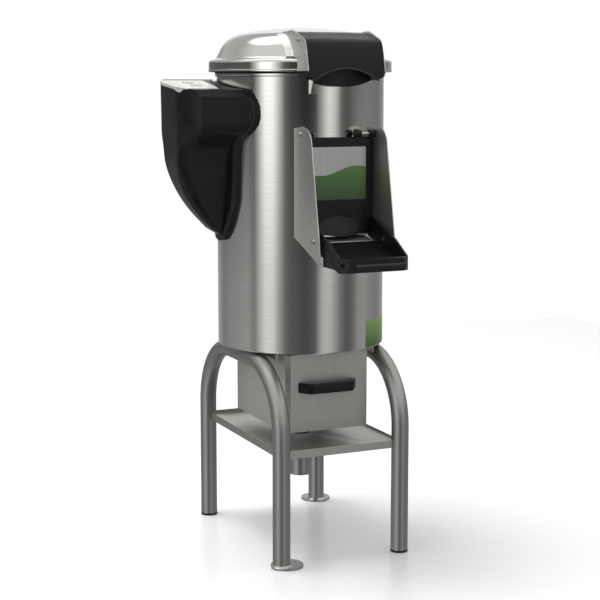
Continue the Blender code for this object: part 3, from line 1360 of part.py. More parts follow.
node("drain_duct", duct, STEEL)
node("water_inlet", water_inlet(), STEEL_DARK)
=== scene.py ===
# %% [markdown]
# # A mussel cleaning machine
# This machine washes and debeards mussels: a ribbed disc turns at the bottom of a steel drum while water runs through.
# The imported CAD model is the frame: it says where every piece is and how it moves. This lesson dresses it as the
# camera sees it, piece by piece, with finer meshes, rounded edges and materials that follow the real ones.

# %% Load the frame
import bmesh
import bpy
import json
import math
from mathutils import Matrix, Vector

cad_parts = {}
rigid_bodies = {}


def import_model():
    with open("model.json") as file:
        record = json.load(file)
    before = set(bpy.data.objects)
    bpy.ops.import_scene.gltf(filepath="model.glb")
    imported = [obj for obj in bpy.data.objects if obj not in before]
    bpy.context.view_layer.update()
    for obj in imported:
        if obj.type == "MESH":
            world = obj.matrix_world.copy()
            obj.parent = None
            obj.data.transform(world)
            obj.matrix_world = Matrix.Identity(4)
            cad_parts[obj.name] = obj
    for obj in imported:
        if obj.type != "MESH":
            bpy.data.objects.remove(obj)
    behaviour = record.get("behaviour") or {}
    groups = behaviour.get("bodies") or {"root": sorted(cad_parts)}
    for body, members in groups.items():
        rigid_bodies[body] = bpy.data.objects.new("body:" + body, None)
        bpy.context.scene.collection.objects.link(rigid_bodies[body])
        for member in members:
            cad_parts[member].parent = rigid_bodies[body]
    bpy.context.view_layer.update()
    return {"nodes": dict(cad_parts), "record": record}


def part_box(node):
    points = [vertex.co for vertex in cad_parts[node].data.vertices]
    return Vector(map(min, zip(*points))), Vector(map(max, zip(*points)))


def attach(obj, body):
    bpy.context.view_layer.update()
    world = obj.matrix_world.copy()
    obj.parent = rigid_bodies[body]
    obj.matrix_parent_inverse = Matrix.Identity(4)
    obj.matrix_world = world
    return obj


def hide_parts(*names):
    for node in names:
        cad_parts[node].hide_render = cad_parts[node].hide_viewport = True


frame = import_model()
nodes = frame["nodes"]

# %% [markdown]
# Every size below is in millimetres in the machine's own frame: the drum's axis is x = y = 0 and the floor is z = 0.
# The gasket on the drum's edge is round, so the middle of its box gives the drum's axis in the frame.

# %% Find the drum's axis
MM = 0.001
low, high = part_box("lid_gasket")
axis_x, axis_y = (low.x + high.x) / 2, (low.y + high.y) / 2
to_world = Matrix.Translation((axis_x, axis_y, 0)) @ Matrix.Scale(MM, 4)
to_machine = to_world.inverted()
print("drum axis at", round(axis_x, 5), round(axis_y, 5))


def span(node):
    """Lowest and highest corner of a CAD node, in machine millimetres."""
    return [to_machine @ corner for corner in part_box(node)]


# %% [markdown]
# The camera comes from the photograph itself: the ellipses of the lid and the drum and the upright edges give its
# height, its turn and its focal length. It looks slightly down, and a small shift keeps the uprights parallel.

# %% Camera
camera_data = bpy.data.cameras.new("camera")
camera_data.sensor_width = 36
camera_data.lens = 86.94
camera_data.shift_y = -0.0412
camera = bpy.data.objects.new("camera", camera_data)
camera.location = (-1.38215, -3.1305, 1.1038)
camera.rotation_euler = Vector((0.4078, 0.9037, -0.1304)).to_track_quat("-Z", "Y").to_euler()
bpy.context.scene.collection.objects.link(camera)
bpy.context.scene.camera = camera
print("camera", [round(v, 3) for v in camera.location])

# %% [markdown]
# Colours are written as sRGB hex values, as a paint chart gives them. Blender works in linear light, so one function
# turns them. Another small function adds any node with its settings and links, and a last one starts a material.

# %% Colour and node helpers


def linear(code):
    """A linear RGBA colour from an sRGB hex code."""
    channels = [int(code[i:i + 2], 16) / 255 for i in (0, 2, 4)]
    return [c / 12.92 if c <= 0.04045 else ((c + 0.055) / 1.055) ** 2.4 for c in channels] + [1]


def socket(source):
    """The socket to link from: a node stands for its first output."""
    return source.outputs[0] if isinstance(source, bpy.types.Node) else source


def add(tree, kind, settings=None, links=None):
    """A node with its settings (a socket or a property by name) and its links (socket: source)."""
    node = tree.nodes.new(kind)
    for key, value in (settings or {}).items():
        if isinstance(key, str) and hasattr(node, key):
            setattr(node, key, value)
        else:
            node.inputs[key].default_value = value
    for key, source in (links or {}).items():
        tree.links.new(socket(source), node.inputs[key])
    return node


def base_material(name, settings):
    """A Principled material whose even values stand on the shader's own sockets."""
    material = bpy.data.materials.new(name)
    material.use_nodes = True
    shader = material.node_tree.nodes["Principled BSDF"]
    for key, value in settings.items():
        shader.inputs[key].default_value = value
    return material, material.node_tree, shader


# %% [markdown]
# Polished steel shows the room around it, so the room matters as much as the metal. The world holds a plain studio:
# dark walls with two tall bright windows left and right of the camera, a dark gap between them where the camera
# stands, a bright ceiling with one brighter window in it, and a low glow behind the machine that its level faces
# mirror. Towards the floor the walls lose contrast. The camera itself sees white.

# %% Studio world
world = bpy.data.worlds.new("studio")
bpy.context.scene.world = world
world.use_nodes = True
sky = world.node_tree
sky.nodes.clear()
direction = add(sky, "ShaderNodeTexCoord").outputs["Generated"]
across, away, up = add(sky, "ShaderNodeSeparateXYZ", links={0: direction}).outputs
turn = add(sky, "ShaderNodeMath", {"operation": "ARCTAN2"}, {0: away, 1: across})
share = add(sky, "ShaderNodeMapRange", {1: -math.pi, 2: math.pi}, {0: turn})
# Direction in degrees from +X (the camera stands at 246), brightness of the walls at eye level and towards the floor
WALLS = (
    (1, 0.28, 0.33), (19, 0.24, 0.29), (52, 0.44, 0.44), (83, 0.2, 0.48), (113, 0.13, 0.28), (131, 0.13, 0.37),
    (145, 0.12, 0.39), (158, 0.13, 0.44), (169, 0.14, 0.46), (180, 0.12, 0.28), (188, 0.7, 0.66), (197, 1.8, 1.04),
    (208, 1.8, 1.0), (216, 1.0, 0.52), (225, 0.2, 0.21), (233, 0.09, 0.15), (242, 0.06, 0.13), (251, 0.03, 0.1),
    (259, 0.04, 0.12), (267, 0.08, 0.16), (276, 0.6, 0.66), (285, 1.25, 0.74), (294, 0.95, 0.48), (303, 0.18, 0.25),
    (313, 0.12, 0.13), (323, 0.22, 0.2), (334, 0.27, 0.42), (347, 0.29, 0.42),
)
SEAM_ROW = 9  # the row at 180 degrees, where the ramp's two ends meet


def walls_at(column):
    """The walls' brightness around the room, from one column of the table."""
    around = add(sky, "ShaderNodeValToRGB", links={0: share})
    ramp = around.color_ramp
    for row in WALLS:
        stop = ramp.elements.new(((row[0] + 180) % 360) / 360)
        stop.color = (row[column],) * 3 + (1,)
    for spare in (ramp.elements[0], ramp.elements[-1]):
        spare.color = (WALLS[SEAM_ROW][column],) * 3 + (1,)
    return around.outputs[0]


def bright_spot(aim, start, end, strength):
    """Light round one direction of the room, by how closely a ray points that way."""
    toward = add(sky, "ShaderNodeVectorMath", {"operation": "DOT_PRODUCT", 1: aim}, {0: direction})
    return add(sky, "ShaderNodeMapRange", {1: start, 2: end, 4: strength}, {0: toward.outputs["Value"]})


near_floor = add(sky, "ShaderNodeMapRange", {1: -0.14, 2: 0, 3: 1, 4: 0}, {0: up})
walls = add(sky, "ShaderNodeMix", {"data_type": "FLOAT"}, {0: near_floor, 2: walls_at(1), 3: walls_at(2)})
behind = add(sky, "ShaderNodeMapRange", {2: 0.5, 4: -0.1}, {0: away})
level = add(sky, "ShaderNodeMath", {"operation": "SUBTRACT"}, {0: up, 1: behind})
high_up = add(sky, "ShaderNodeMapRange", {1: 0.16, 2: 0.4}, {0: level})
overhead = add(sky, "ShaderNodeMapRange", {1: 0.2, 2: 0.6, 3: 1, 4: 0.6}, {0: away})
skylight = bright_spot((-0.22, 0.26, 0.94), 0.9, 0.955, 1.4)
above = add(sky, "ShaderNodeMath", {"operation": "ADD"}, {0: overhead, 1: skylight})
room_light = add(sky, "ShaderNodeMix", {"data_type": "FLOAT"}, {0: high_up, 2: walls, 3: above})
low_glow = bright_spot((0.4, 0.89, 0.22), 0.94, 0.985, 0.5)
light = add(sky, "ShaderNodeMath", {"operation": "ADD"}, {0: room_light, 1: low_glow})
rays = add(sky, "ShaderNodeLightPath").outputs
on_matt = add(sky, "ShaderNodeMapRange", {3: 1, 4: 0.6}, {0: rays["Is Diffuse Ray"]})
strength = add(sky, "ShaderNodeMath", {"operation": "MULTIPLY"}, {0: light, 1: on_matt})
room = add(sky, "ShaderNodeBackground", {"Color": (1, 1, 1, 1)}, {"Strength": strength})
backdrop = add(sky, "ShaderNodeBackground", {"Color": (1, 1, 1, 1), "Strength": 1.0})
seen = add(sky, "ShaderNodeMixShader", links={0: rays["Is Camera Ray"], 1: room, 2: backdrop})
add(sky, "ShaderNodeOutputWorld", links={0: seen})
bpy.context.scene.view_settings.view_transform = "Standard"
print("studio walls", len(WALLS), "stops")

# %% [markdown]
# One soft lamp hangs over the machine and gives the floor its shadow. The steel doesn't mirror it: the room above is
# what the steel shows. The floor is plain pale paint.

# %% Lamp and floor
LAMP_PLACE, LAMP_TARGET, LAMP_WIDE = Vector((-0.7, 0.6, 4.4)), Vector((0, 0, 0.6)), 1.8
lamp_data = bpy.data.lights.new("overhead", "AREA")
lamp_data.shape = "RECTANGLE"
lamp_data.size, lamp_data.size_y, lamp_data.energy = LAMP_WIDE, LAMP_WIDE, 108
lamp = bpy.data.objects.new("overhead", lamp_data)
lamp.location = LAMP_PLACE
lamp.rotation_euler = (LAMP_TARGET - LAMP_PLACE).to_track_quat("-Z", "Y").to_euler()
lamp.visible_glossy = False
bpy.context.scene.collection.objects.link(lamp)

FLOOR_HALF = 2.6
bpy.ops.mesh.primitive_plane_add(size=2 * FLOOR_HALF, location=(0, 0, 0))
floor = bpy.context.object
floor.name = "floor"
floor.location.z = -0.0002
pale, _, _ = base_material("studio_floor_paint", {
    "Base Color": (0.93, 0.93, 0.93, 1), "Roughness": 0.25, "Specular IOR Level": 0.15,
    "Emission Color": (1, 1, 1, 1), "Emission Strength": 0.1,
})
floor.data.materials.append(pale)
floor.visible_glossy = False
print("floor", 2 * FLOOR_HALF, "m wide")

# %% [markdown]
# ## Materials
# The drum, lid and chute are cold-rolled stainless sheet with a satin finish: the rolls and the abrasive belt leave
# fine lines, so reflections stretch across them. The tubes are drawn and ground lengthwise. Each steel below shares
# one builder that takes the direction and the length of its grain in millimetres.

# %% Steel
# Noise keeps mostly between these two values
MIDDLE = {1: 0.3, 2: 0.7}


def pattern(tree, feature_mm, detail=3.0):
    """Noise on Object coordinates, with the size of its features along x, y and z in millimetres."""
    where = add(tree, "ShaderNodeTexCoord")
    scaled = add(tree, "ShaderNodeMapping", {"Scale": [1 / (MM * f) for f in feature_mm]},
                 {"Vector": where.outputs["Object"]})
    return add(tree, "ShaderNodeTexNoise", {"Scale": 1.0, "Detail": detail}, {"Vector": scaled.outputs[0]})


def tinted(tree, source, first, second, reach=MIDDLE):
    """A colour between two hex colours, by a pattern that goes through a reach of values."""
    share_of_second = add(tree, "ShaderNodeMapRange", reach, {0: source})
    return add(tree, "ShaderNodeMix", {"data_type": "RGBA", 6: linear(first), 7: linear(second)},
               {0: share_of_second}).outputs[2]


def link(tree, shader, **sources):
    """Links sources to sockets named with underscores for spaces."""
    for key, source in sources.items():
        tree.links.new(socket(source), shader.inputs[key.replace("_", " ")])


def steel(name, first, second, rough, grain_mm, relief_mm, cloud_mm=90):
    """Stainless steel: fine directional grain, and slow clouds where hands and rolls have dulled it."""
    material, tree, shader = base_material(name, {"Metallic": 1.0})
    grain = pattern(tree, grain_mm, 2.0)
    cloud = pattern(tree, (cloud_mm,) * 3, 2.0)
    lines = add(tree, "ShaderNodeMapRange", {**MIDDLE, 3: rough - 0.012, 4: rough + 0.02}, {0: grain})
    clouds = add(tree, "ShaderNodeMapRange", {**MIDDLE, 3: -0.01, 4: 0.015}, {0: cloud})
    dulled = add(tree, "ShaderNodeMath", {"operation": "ADD"}, {0: lines, 1: clouds})
    relief = add(tree, "ShaderNodeBump", {"Strength": 0.5, "Distance": relief_mm * MM}, {"Height": grain})
    link(tree, shader, Base_Color=tinted(tree, grain, first, second), Roughness=dulled, Normal=relief)
    return material


# The scratches are 45 to 70 mm long, and drawn 1.2 to 1.8 mm wide, since their real 0.1 mm would not show
# Cold-rolled, then belted round: tall reflections with soft sides, broken by faint level lines
satin_round = steel("satin_stainless_sheet", "c9c8c5", "c3c2bf", 0.11, (60, 60, 1.6), 0.0008)
# Belted flat with a coarser grit: an even pale grey with no clear reflection
satin_cheek = steel("satin_stainless_cheek", "e2e1de", "dad9d6", 0.45, (60, 60, 1.5), 0.0003)
# Spun on a form and polished: the room shows nearly as in a mirror
spun_lid = steel("spun_stainless_dome", "cccbc8", "c6c5c2", 0.075, (70, 70, 1.2), 0.0006)
# Drawn and ground lengthwise: a dull grey with one soft highlight along the tube
ground_tube = steel("ground_stainless_tube", "a9a8a5", "9f9e9c", 0.42, (1.2, 1.2, 45), 0.0006)
# Dull-rolled sheet, folded: a flat grey that a crease shows on as a change of tone
folded_pan = steel("folded_stainless_pan", "bab9b6", "b2b1ae", 0.44, (1.3, 60, 60), 0.0005)
# The same sheet, new: paler, with hardly any reflection
folded_housing = steel("folded_stainless_housing", "e6e5e2", "dfdedb", 0.52, (1.3, 60, 60), 0.0005)
# Turned on a lathe: small bright rings that glint at the edges
turned_steel = steel("turned_stainless_fitting", "bdbcb9", "b0afac", 0.22, (12, 12, 0.9), 0.001, 20)
# Raw inner sheet: scratched, greyer and duller than the outside
dark_steel = steel("rough_inner_stainless", "a3a29f", "969592", 0.4, (50, 50, 1.8), 0.003)
print("steels", len([m for m in bpy.data.materials if "stainless" in m.name]))

# %% [markdown]
# The housing, the outlet and the handles are injection-moulded ABS with a fine spark-eroded texture: tiny hollows
# that break up the gloss, drawn 1.4 mm apart because the real 0.1 mm would not show. The collar's beads and the arch's
# lip are a little smoother, and painted paler: a painted highlight along those edges. The film labels are printed
# polyester, and the seals are EPDM rubber with a waxy bloom.

# %% Plastics and rubber


def moulded(name, first, second, rough, texture_mm, relief_mm, strength=0.35, coat=0.0, gloss=0.25):
    """A moulded polymer: eroded texture in relief, and slow changes of gloss."""
    material, tree, shader = base_material(name, {"Specular IOR Level": gloss, "Coat Weight": coat})
    texture = pattern(tree, (texture_mm,) * 3, 4.0)
    wear = pattern(tree, (35, 35, 55), 3.0)
    worn = add(tree, "ShaderNodeMapRange", {**MIDDLE, 3: rough - 0.05, 4: rough + 0.06}, {0: wear})
    relief = add(tree, "ShaderNodeBump", {"Strength": strength, "Distance": relief_mm * MM}, {"Height": texture})
    link(tree, shader, Base_Color=tinted(tree, wear, first, second), Roughness=worn, Normal=relief)
    return material


# Eroded ABS: black with a broad, grey, broken highlight
black_abs = moulded("moulded_black_abs", "101011", "151516", 0.36, 1.4, 0.03)
# The same grain on the outlet, a trace paler where water and hands wear it
outlet_abs = moulded("moulded_black_outlet_abs", "131314", "181819", 0.36, 1.4, 0.03)
# Polished ABS on the tray's bar: a narrow, clear highlight
gloss_abs = moulded("polished_black_abs", "131314", "181819", 0.2, 1.4, 0.01, gloss=0.5)
# Charcoal ABS that hands rub: a dark grey with a wide soft highlight
grip_abs = moulded("moulded_charcoal_grip", "1b1b1c", "212122", 0.34, 1.4, 0.03)
# Black ABS painted paler on the arch's lip and the collar's beads: a painted highlight line that marks the black form
painted_highlight_abs = moulded("moulded_black_abs_painted_highlight", "2a2a2b", "303031", 0.34, 1.4, 0.02)
# Moulded nylon: deep black, a little glossier than the ABS
handle_nylon = moulded("moulded_black_nylon", "0e0e0f", "131314", 0.3, 1.1, 0.02)
# EPDM with a waxy bloom: matt black with no highlight
seal_rubber = moulded("epdm_seal_rubber", "0f0f0f", "161615", 0.62, 2.0, 0.04)
# Neoprene belt: dusty dark grey, dead matt
belt_rubber = moulded("neoprene_belt_rubber", "202020", "2d2c2b", 0.7, 1.0, 0.05)
# Floor rubber: coarse, matt and slightly grey
foot_rubber = moulded("moulded_foot_rubber", "141414", "1c1c1c", 0.6, 2.2, 0.06)
# Pale grey switchgear case: an even, half-matt light grey
relay_plastic = moulded("moulded_grey_relay_case", "9a9b98", "8c8d8a", 0.45, 1.2, 0.03)
# Button cap, sun-bleached: a pale dusty green under a clear gloss
green_cap = moulded("moulded_green_button_cap", "a3b99c", "99b192", 0.28, 3.0, 0.01, 0.2, 0.3)
# Its twin: a pale dusty red under a clear gloss
red_cap = moulded("moulded_red_button_cap", "c9b2ac", "c2a8a2", 0.28, 3.0, 0.01, 0.2, 0.3)
# Polyester film with an aluminium layer: a grey sheen that shifts with the angle
silver_film = steel("metallised_silver_film", "b6b7b5", "aeafad", 0.3, (1.2, 60, 60), 0.0003)
# Printed polyester: flat pale grey with a slight sheen
pale_film = moulded("printed_pale_film", "c8cac8", "c0c2be", 0.32, 6.0, 0.01, 0.2, 0.2)
# Printed polyester: a flat light green
leaf_film = moulded("printed_leaf_green_film", "a9c487", "a2bd80", 0.34, 6.0, 0.01, 0.2, 0.2)


def faded(name, low_mm, low_colour, high_mm, high_colour):
    """A printed film whose ink fades from one colour to another over a height."""
    material, tree, shader = base_material(name, {"Roughness": 0.33, "Specular IOR Level": 0.35, "Coat Weight": 0.3})
    where = add(tree, "ShaderNodeTexCoord")
    height = add(tree, "ShaderNodeSeparateXYZ", links={0: where.outputs["Object"]}).outputs["Z"]
    grain = pattern(tree, (6, 6, 6), 3.0)
    relief = add(tree, "ShaderNodeBump", {"Strength": 0.2, "Distance": 0.01 * MM}, {"Height": grain})
    ink = tinted(tree, height, low_colour, high_colour, {1: low_mm * MM, 2: high_mm * MM})
    link(tree, shader, Base_Color=ink, Normal=relief)
    return material


# Printed polyester: dark green below that lightens to leaf green above
green_door_film = faded("printed_green_door_film", 845, "36572f", 930, "5f8a44")
# The same ink on the drum's label, over its own height
green_body_film = faded("printed_green_body_film", 487, "2f5a28", 552, "79a048")
# Enamelled casting: thick grey paint over a rough skin, with a wet-looking highlight
cast_grey = moulded("enamelled_grey_casting", "6b6e70", "5d6062", 0.42, 2.5, 0.12, 0.5)

# %% [markdown]
# The washing disc is coated with corundum grit in resin, as on a coarse grinding disc. The grains are a Voronoi
# pattern, which also gives the bump its height.

# %% Abrasive disc
GRAIN_APART = 2.2


def abrasive():
    """Corundum grit in resin: grains 2.2 mm apart, rough and matt."""
    material, tree, shader = base_material("corundum_grit_coat", {"Roughness": 0.85})
    where = add(tree, "ShaderNodeTexCoord")
    grit = add(tree, "ShaderNodeTexVoronoi", {"Scale": 1 / (MM * GRAIN_APART)}, {"Vector": where.outputs["Object"]})
    relief = add(tree, "ShaderNodeBump", {"Strength": 0.8, "Distance": 0.5 * MM}, {"Height": grit})
    link(tree, shader, Base_Color=tinted(tree, grit, "6f6d68", "3b3a38", {1: 0.1, 2: 0.7}), Normal=relief)
    return material


grit_coat = abrasive()
print("materials", len(bpy.data.materials))

# %% [markdown]
# ## Tools for the meshes
# A finished piece sits at the origin with its place in its mesh. Round pieces are turned from a profile with many more
# sides than the CAD has. Flat pieces start from a copy of their CAD node: its triangles are merged into flat faces and
# a Bevel modifier rounds the edges, because sharp edges never catch the light as real folded or moulded ones do.

# %% Finish a piece


def settle(name, mesh, body, material, node=None, angle=35):
    """Gives a mesh in world metres its object, shading, material and body, and the CAD node that it stands for."""
    mesh.shade_smooth()
    mesh.set_sharp_from_angle(angle=math.radians(angle))
    mesh = with_modifiers(mesh, ("WEIGHTED_NORMAL", {"keep_sharp": True, "weight": 80}))
    mesh.name = name
    mesh.materials.clear()
    mesh.materials.append(material)
    obj = bpy.data.objects.new(name, mesh)
    bpy.context.scene.collection.objects.link(obj)
    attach(obj, body)
    if node:
        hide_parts(*([node] if isinstance(node, str) else node))
    return obj


def meshed(work, place=to_world):
    """A mesh in world metres from a closed bmesh in machine millimetres, with its faces pointing outwards."""
    bmesh.ops.remove_doubles(work, verts=work.verts, dist=0.001)
    bmesh.ops.recalc_face_normals(work, faces=work.faces)
    mesh = bpy.data.meshes.new("piece")
    work.to_mesh(mesh)
    work.free()
    mesh.transform(place)
    return mesh


def with_modifiers(mesh, *modifiers):
    """The mesh after modifiers, each a kind and its settings. The modifiers don't stay on any piece."""
    obj = bpy.data.objects.new("bench", mesh)
    bpy.context.scene.collection.objects.link(obj)
    for kind, settings in modifiers:
        modifier = obj.modifiers.new(kind, kind)
        for key, value in settings.items():
            setattr(modifier, key, value)
    seen = obj.evaluated_get(bpy.context.evaluated_depsgraph_get())
    result = bpy.data.meshes.new_from_object(seen)
    bpy.data.objects.remove(obj)
    return result


def bevelled(mesh, width_mm, segments=2, angle=30):
    """Rounds every edge sharper than an angle."""
    return with_modifiers(mesh, ("BEVEL", {
        "width": width_mm * MM, "segments": segments, "limit_method": "ANGLE", "angle_limit": math.radians(angle),
        "use_clamp_overlap": True, "miter_outer": "MITER_ARC",
    }))


def solved(body, tool, operation="DIFFERENCE"):
    """An exact Boolean of two meshes in world metres: what is left of the body, unless another operation is named."""
    cutter = bpy.data.objects.new("cutter", tool)
    bpy.context.scene.collection.objects.link(cutter)
    result = with_modifiers(body, ("BOOLEAN", {"operation": operation, "solver": "EXACT", "object": cutter}))
    bpy.data.objects.remove(cutter)
    return result


def cad_copy(node):
    """A merged copy of a CAD node's mesh, with its flat faces whole."""
    work = bmesh.new()
    work.from_mesh(nodes[node].data)
    bmesh.ops.remove_doubles(work, verts=work.verts, dist=1e-6)
    bmesh.ops.dissolve_limit(work, angle_limit=math.radians(0.4), verts=work.verts, edges=work.edges)
    bmesh.ops.recalc_face_normals(work, faces=work.faces)
    mesh = bpy.data.meshes.new(node)
    work.to_mesh(mesh)
    work.free()
    return mesh


def body_of(node):
    """The body that carries a CAD node."""
    return next(body for body, members in frame["record"]["behaviour"]["bodies"].items() if node in members)


def softened(node, material, width_mm, segments=2, angle=30):
    """A CAD node's own form with rounded edges."""
    return settle(f"{node}_rounded", bevelled(cad_copy(node), width_mm, segments, angle), body_of(node), material,
                  node)


def standing_for(node, mesh, material, angle=35, name=None):
    """A finer mesh in the place of a CAD node."""
    return settle(name or f"{node}_fine", mesh, body_of(node), material, node, angle)


# %% [markdown]
# Most pieces follow one of a few rules: turned about a line, lofted through rings, drawn out along an axis, or bent
# along a smooth line. Each rule is one short function below, in machine millimetres.

# %% Shapes by rule
ROUND = 160


def even(steps, start=-1, end=1):
    """Evenly spaced values from start to end."""
    return [start + (end - start) * i / steps for i in range(steps + 1)]


def arc(centre, radius, start, end, steps):
    """Points on an arc, with angles in degrees."""
    angles = [math.radians(a) for a in even(steps, start, end)]
    return [(centre[0] + radius * math.cos(a), centre[1] + radius * math.sin(a)) for a in angles]


def arch(half, base, rise, steps):
    """Points on a parabola over a width of twice the half."""
    return [(s * half, base + rise * (1 - s * s)) for s in even(steps)]


def turned(profile, steps=ROUND, centre=(0, 0), direction=None, foot=(0, 0, 0), place=to_world):
    """A closed profile of (radius, height) points turned about a line."""
    work = bmesh.new()
    rings = []
    for radius, height in profile:
        if radius < 1e-6:
            rings.append([work.verts.new((*centre, height))] * steps)
        else:
            rings.append([work.verts.new((x, y, height)) for x, y in arc(centre, radius, 0, 360, steps)[:-1]])
    for near, far in zip(rings, rings[1:] + rings[:1]):
        for i in range(steps):
            j = (i + 1) % steps
            corners = list(dict.fromkeys((near[i], near[j], far[j], far[i])))
            if len(corners) > 2:
                work.faces.new(corners)
    if direction:
        spin = Vector((0, 0, 1)).rotation_difference(Vector(direction)).to_matrix().to_4x4()
        work.transform(Matrix.Translation(foot) @ spin)
    return meshed(work, place)


def cylinder(radius, low, high, steps=32, **place):
    """A plain round solid about a line."""
    return turned([(0, low), (radius, low), (radius, high), (0, high)], steps, **place)


def loft(rings, place=to_world):
    """A closed solid through rings with the same number of points."""
    work = bmesh.new()
    made = [[work.verts.new(point) for point in ring] for ring in rings]
    for near, far in zip(made, made[1:]):
        for i in range(len(near)):
            j = (i + 1) % len(near)
            work.faces.new((near[i], near[j], far[j], far[i]))
    work.faces.new(made[0])
    work.faces.new(made[-1])
    return meshed(work, place)


def prism(axis, outline, low, high):
    """An outline drawn out along an axis."""
    order = {"X": lambda at, a, b: (at, a, b), "Y": lambda at, a, b: (a, at, b), "Z": lambda at, a, b: (a, b, at)}
    return loft([[order[axis](at, a, b) for a, b in outline] for at in (low, high)])


def block(low, high):
    """A box from its lowest to its highest corner."""
    (x0, y0, z0), (x1, y1, z1) = low, high
    return prism("Z", [(x0, y0), (x1, y0), (x1, y1), (x0, y1)], z0, z1)


def rounded_profile(profile, radius, steps=4, skip=()):
    """A closed profile with its corners rounded, except those at the places in skip."""
    made = []
    count = len(profile)
    for i, point in enumerate(profile):
        here = Vector(point)
        before, after = Vector(profile[i - 1]), Vector(profile[(i + 1) % count])
        reach = min(radius, (before - here).length * 0.45, (after - here).length * 0.45)
        if i in skip or reach < 1e-4 or point[0] < 1e-6:
            made.append(tuple(point))
            continue
        start = here + (before - here).normalized() * reach
        end = here + (after - here).normalized() * reach
        for k in range(steps + 1):
            t = k / steps
            made.append(tuple(start * (1 - t) ** 2 + here * 2 * t * (1 - t) + end * t * t))
    return made


def smooth_line(points, steps):
    """A Catmull-Rom curve through points."""
    ends = [2 * Vector(points[0]) - Vector(points[1])] + [Vector(p) for p in points]
    ends.append(2 * Vector(points[-1]) - Vector(points[-2]))
    made = []
    for i in range(1, len(ends) - 2):
        a, b, c, d = ends[i - 1:i + 3]
        for k in range(steps):
            t = k / steps
            made.append(0.5 * (2 * b + (c - a) * t + (2 * a - 5 * b + 4 * c - d) * t * t
                               + (3 * b - a - 3 * c + d) * t ** 3))
    return made + [ends[-2]]


print("shapes are turned with", ROUND, "sides")

# %% [markdown]
# ## Drum and lid
# The drum is a rolled and welded sheet, 400 mm across, with a turned-in flange below. It follows a rule, so it is
# turned from its profile. The discharge opening is cut out of it, and one weld runs down its back.

# %% Drum
DRUM_R, DRUM_WALL, FLANGE_R = 200, 2, 160
DRUM_BOTTOM, DRUM_TOP = 483.4, 1123
OPENING_HALF, OPENING_LOW, OPENING_HIGH = 72, 768, 966
INLET_R, INLET_Z = 11.3, 1030


def drum():
    """The wall with its turned-in flange, the outlet's opening and the inlet's hole."""
    inner = DRUM_R - DRUM_WALL
    foot = [(DRUM_R - 3.2, DRUM_BOTTOM), (DRUM_R - 1.2, DRUM_BOTTOM + 0.7), (DRUM_R - 0.2, DRUM_BOTTOM + 2.4),
            (DRUM_R, DRUM_BOTTOM + 5)]
    edge = [(DRUM_R, DRUM_TOP - 0.8), (DRUM_R - 0.8, DRUM_TOP), (inner, DRUM_TOP)]
    flange = [(inner, DRUM_BOTTOM + DRUM_WALL), (FLANGE_R, DRUM_BOTTOM + DRUM_WALL), (FLANGE_R, DRUM_BOTTOM)]
    shell = turned(foot + edge + flange)
    shell = solved(shell, block((-OPENING_HALF, -220, OPENING_LOW), (OPENING_HALF, -100, OPENING_HIGH)))
    return solved(shell, cylinder(INLET_R, 170, 220, direction=(0, 1, 0), foot=(0, 0, INLET_Z)))


standing_for("body_shell", drum(), satin_round)

SEAM = ((-2.4, 0.02), (-1.4, 0.22), (0, 0.3), (1.4, 0.22), (2.4, 0.02), (0, -0.4))
weld = loft([[(x, DRUM_R + up - 0.05, z) for x, up in SEAM] for z in (DRUM_BOTTOM + 6, 1010, DRUM_TOP - 52)])
settle("drum_weld_seam", weld, "frame", turned_steel)
print("drum", DRUM_TOP - DRUM_BOTTOM, "mm tall")

# %% [markdown]
# The lid is spun: a flat crown, a tight knuckle, a steep side and a shoulder that rolls over into the rim. The rim
# ends in a small bead. The line below is the outer face; a second line 1.5 mm inside it closes the sheet. The gasket
# and the drum's steel edge ring lie under the rim.

# %% Lid
RIM_R, RIM_LOW, SHEET, RING_R = 219.3, 1136.0, 1.5, 197
CROWN_TOP, CROWN_ARC, CROWN_R, KNUCKLE_ARC, KNUCKLE_END = 1237.0, 740.0, 144.0, 66.0, 63.4


def bent(start, control, end, steps):
    """A smooth bend that leans towards its control point."""
    a, b, c = Vector(start), Vector(control), Vector(end)
    return [tuple(a * (1 - t) ** 2 + b * 2 * t * (1 - t) + c * t * t) for t in even(steps, 0)]


def offset(points, distance):
    """The line at a distance to the left of a line of points."""
    made = []
    for i, point in enumerate(points):
        here = Vector(point)
        before = here - Vector(points[i - 1]) if i else None
        after = Vector(points[i + 1]) - here if i + 1 < len(points) else None
        into = (before or after).normalized()
        out = (after or before).normalized()
        square = Vector((-(into + out).y, (into + out).x)).normalized()
        made.append(tuple(here + square * distance / max(0.5, square.dot(Vector((-into.y, into.x))))))
    return made


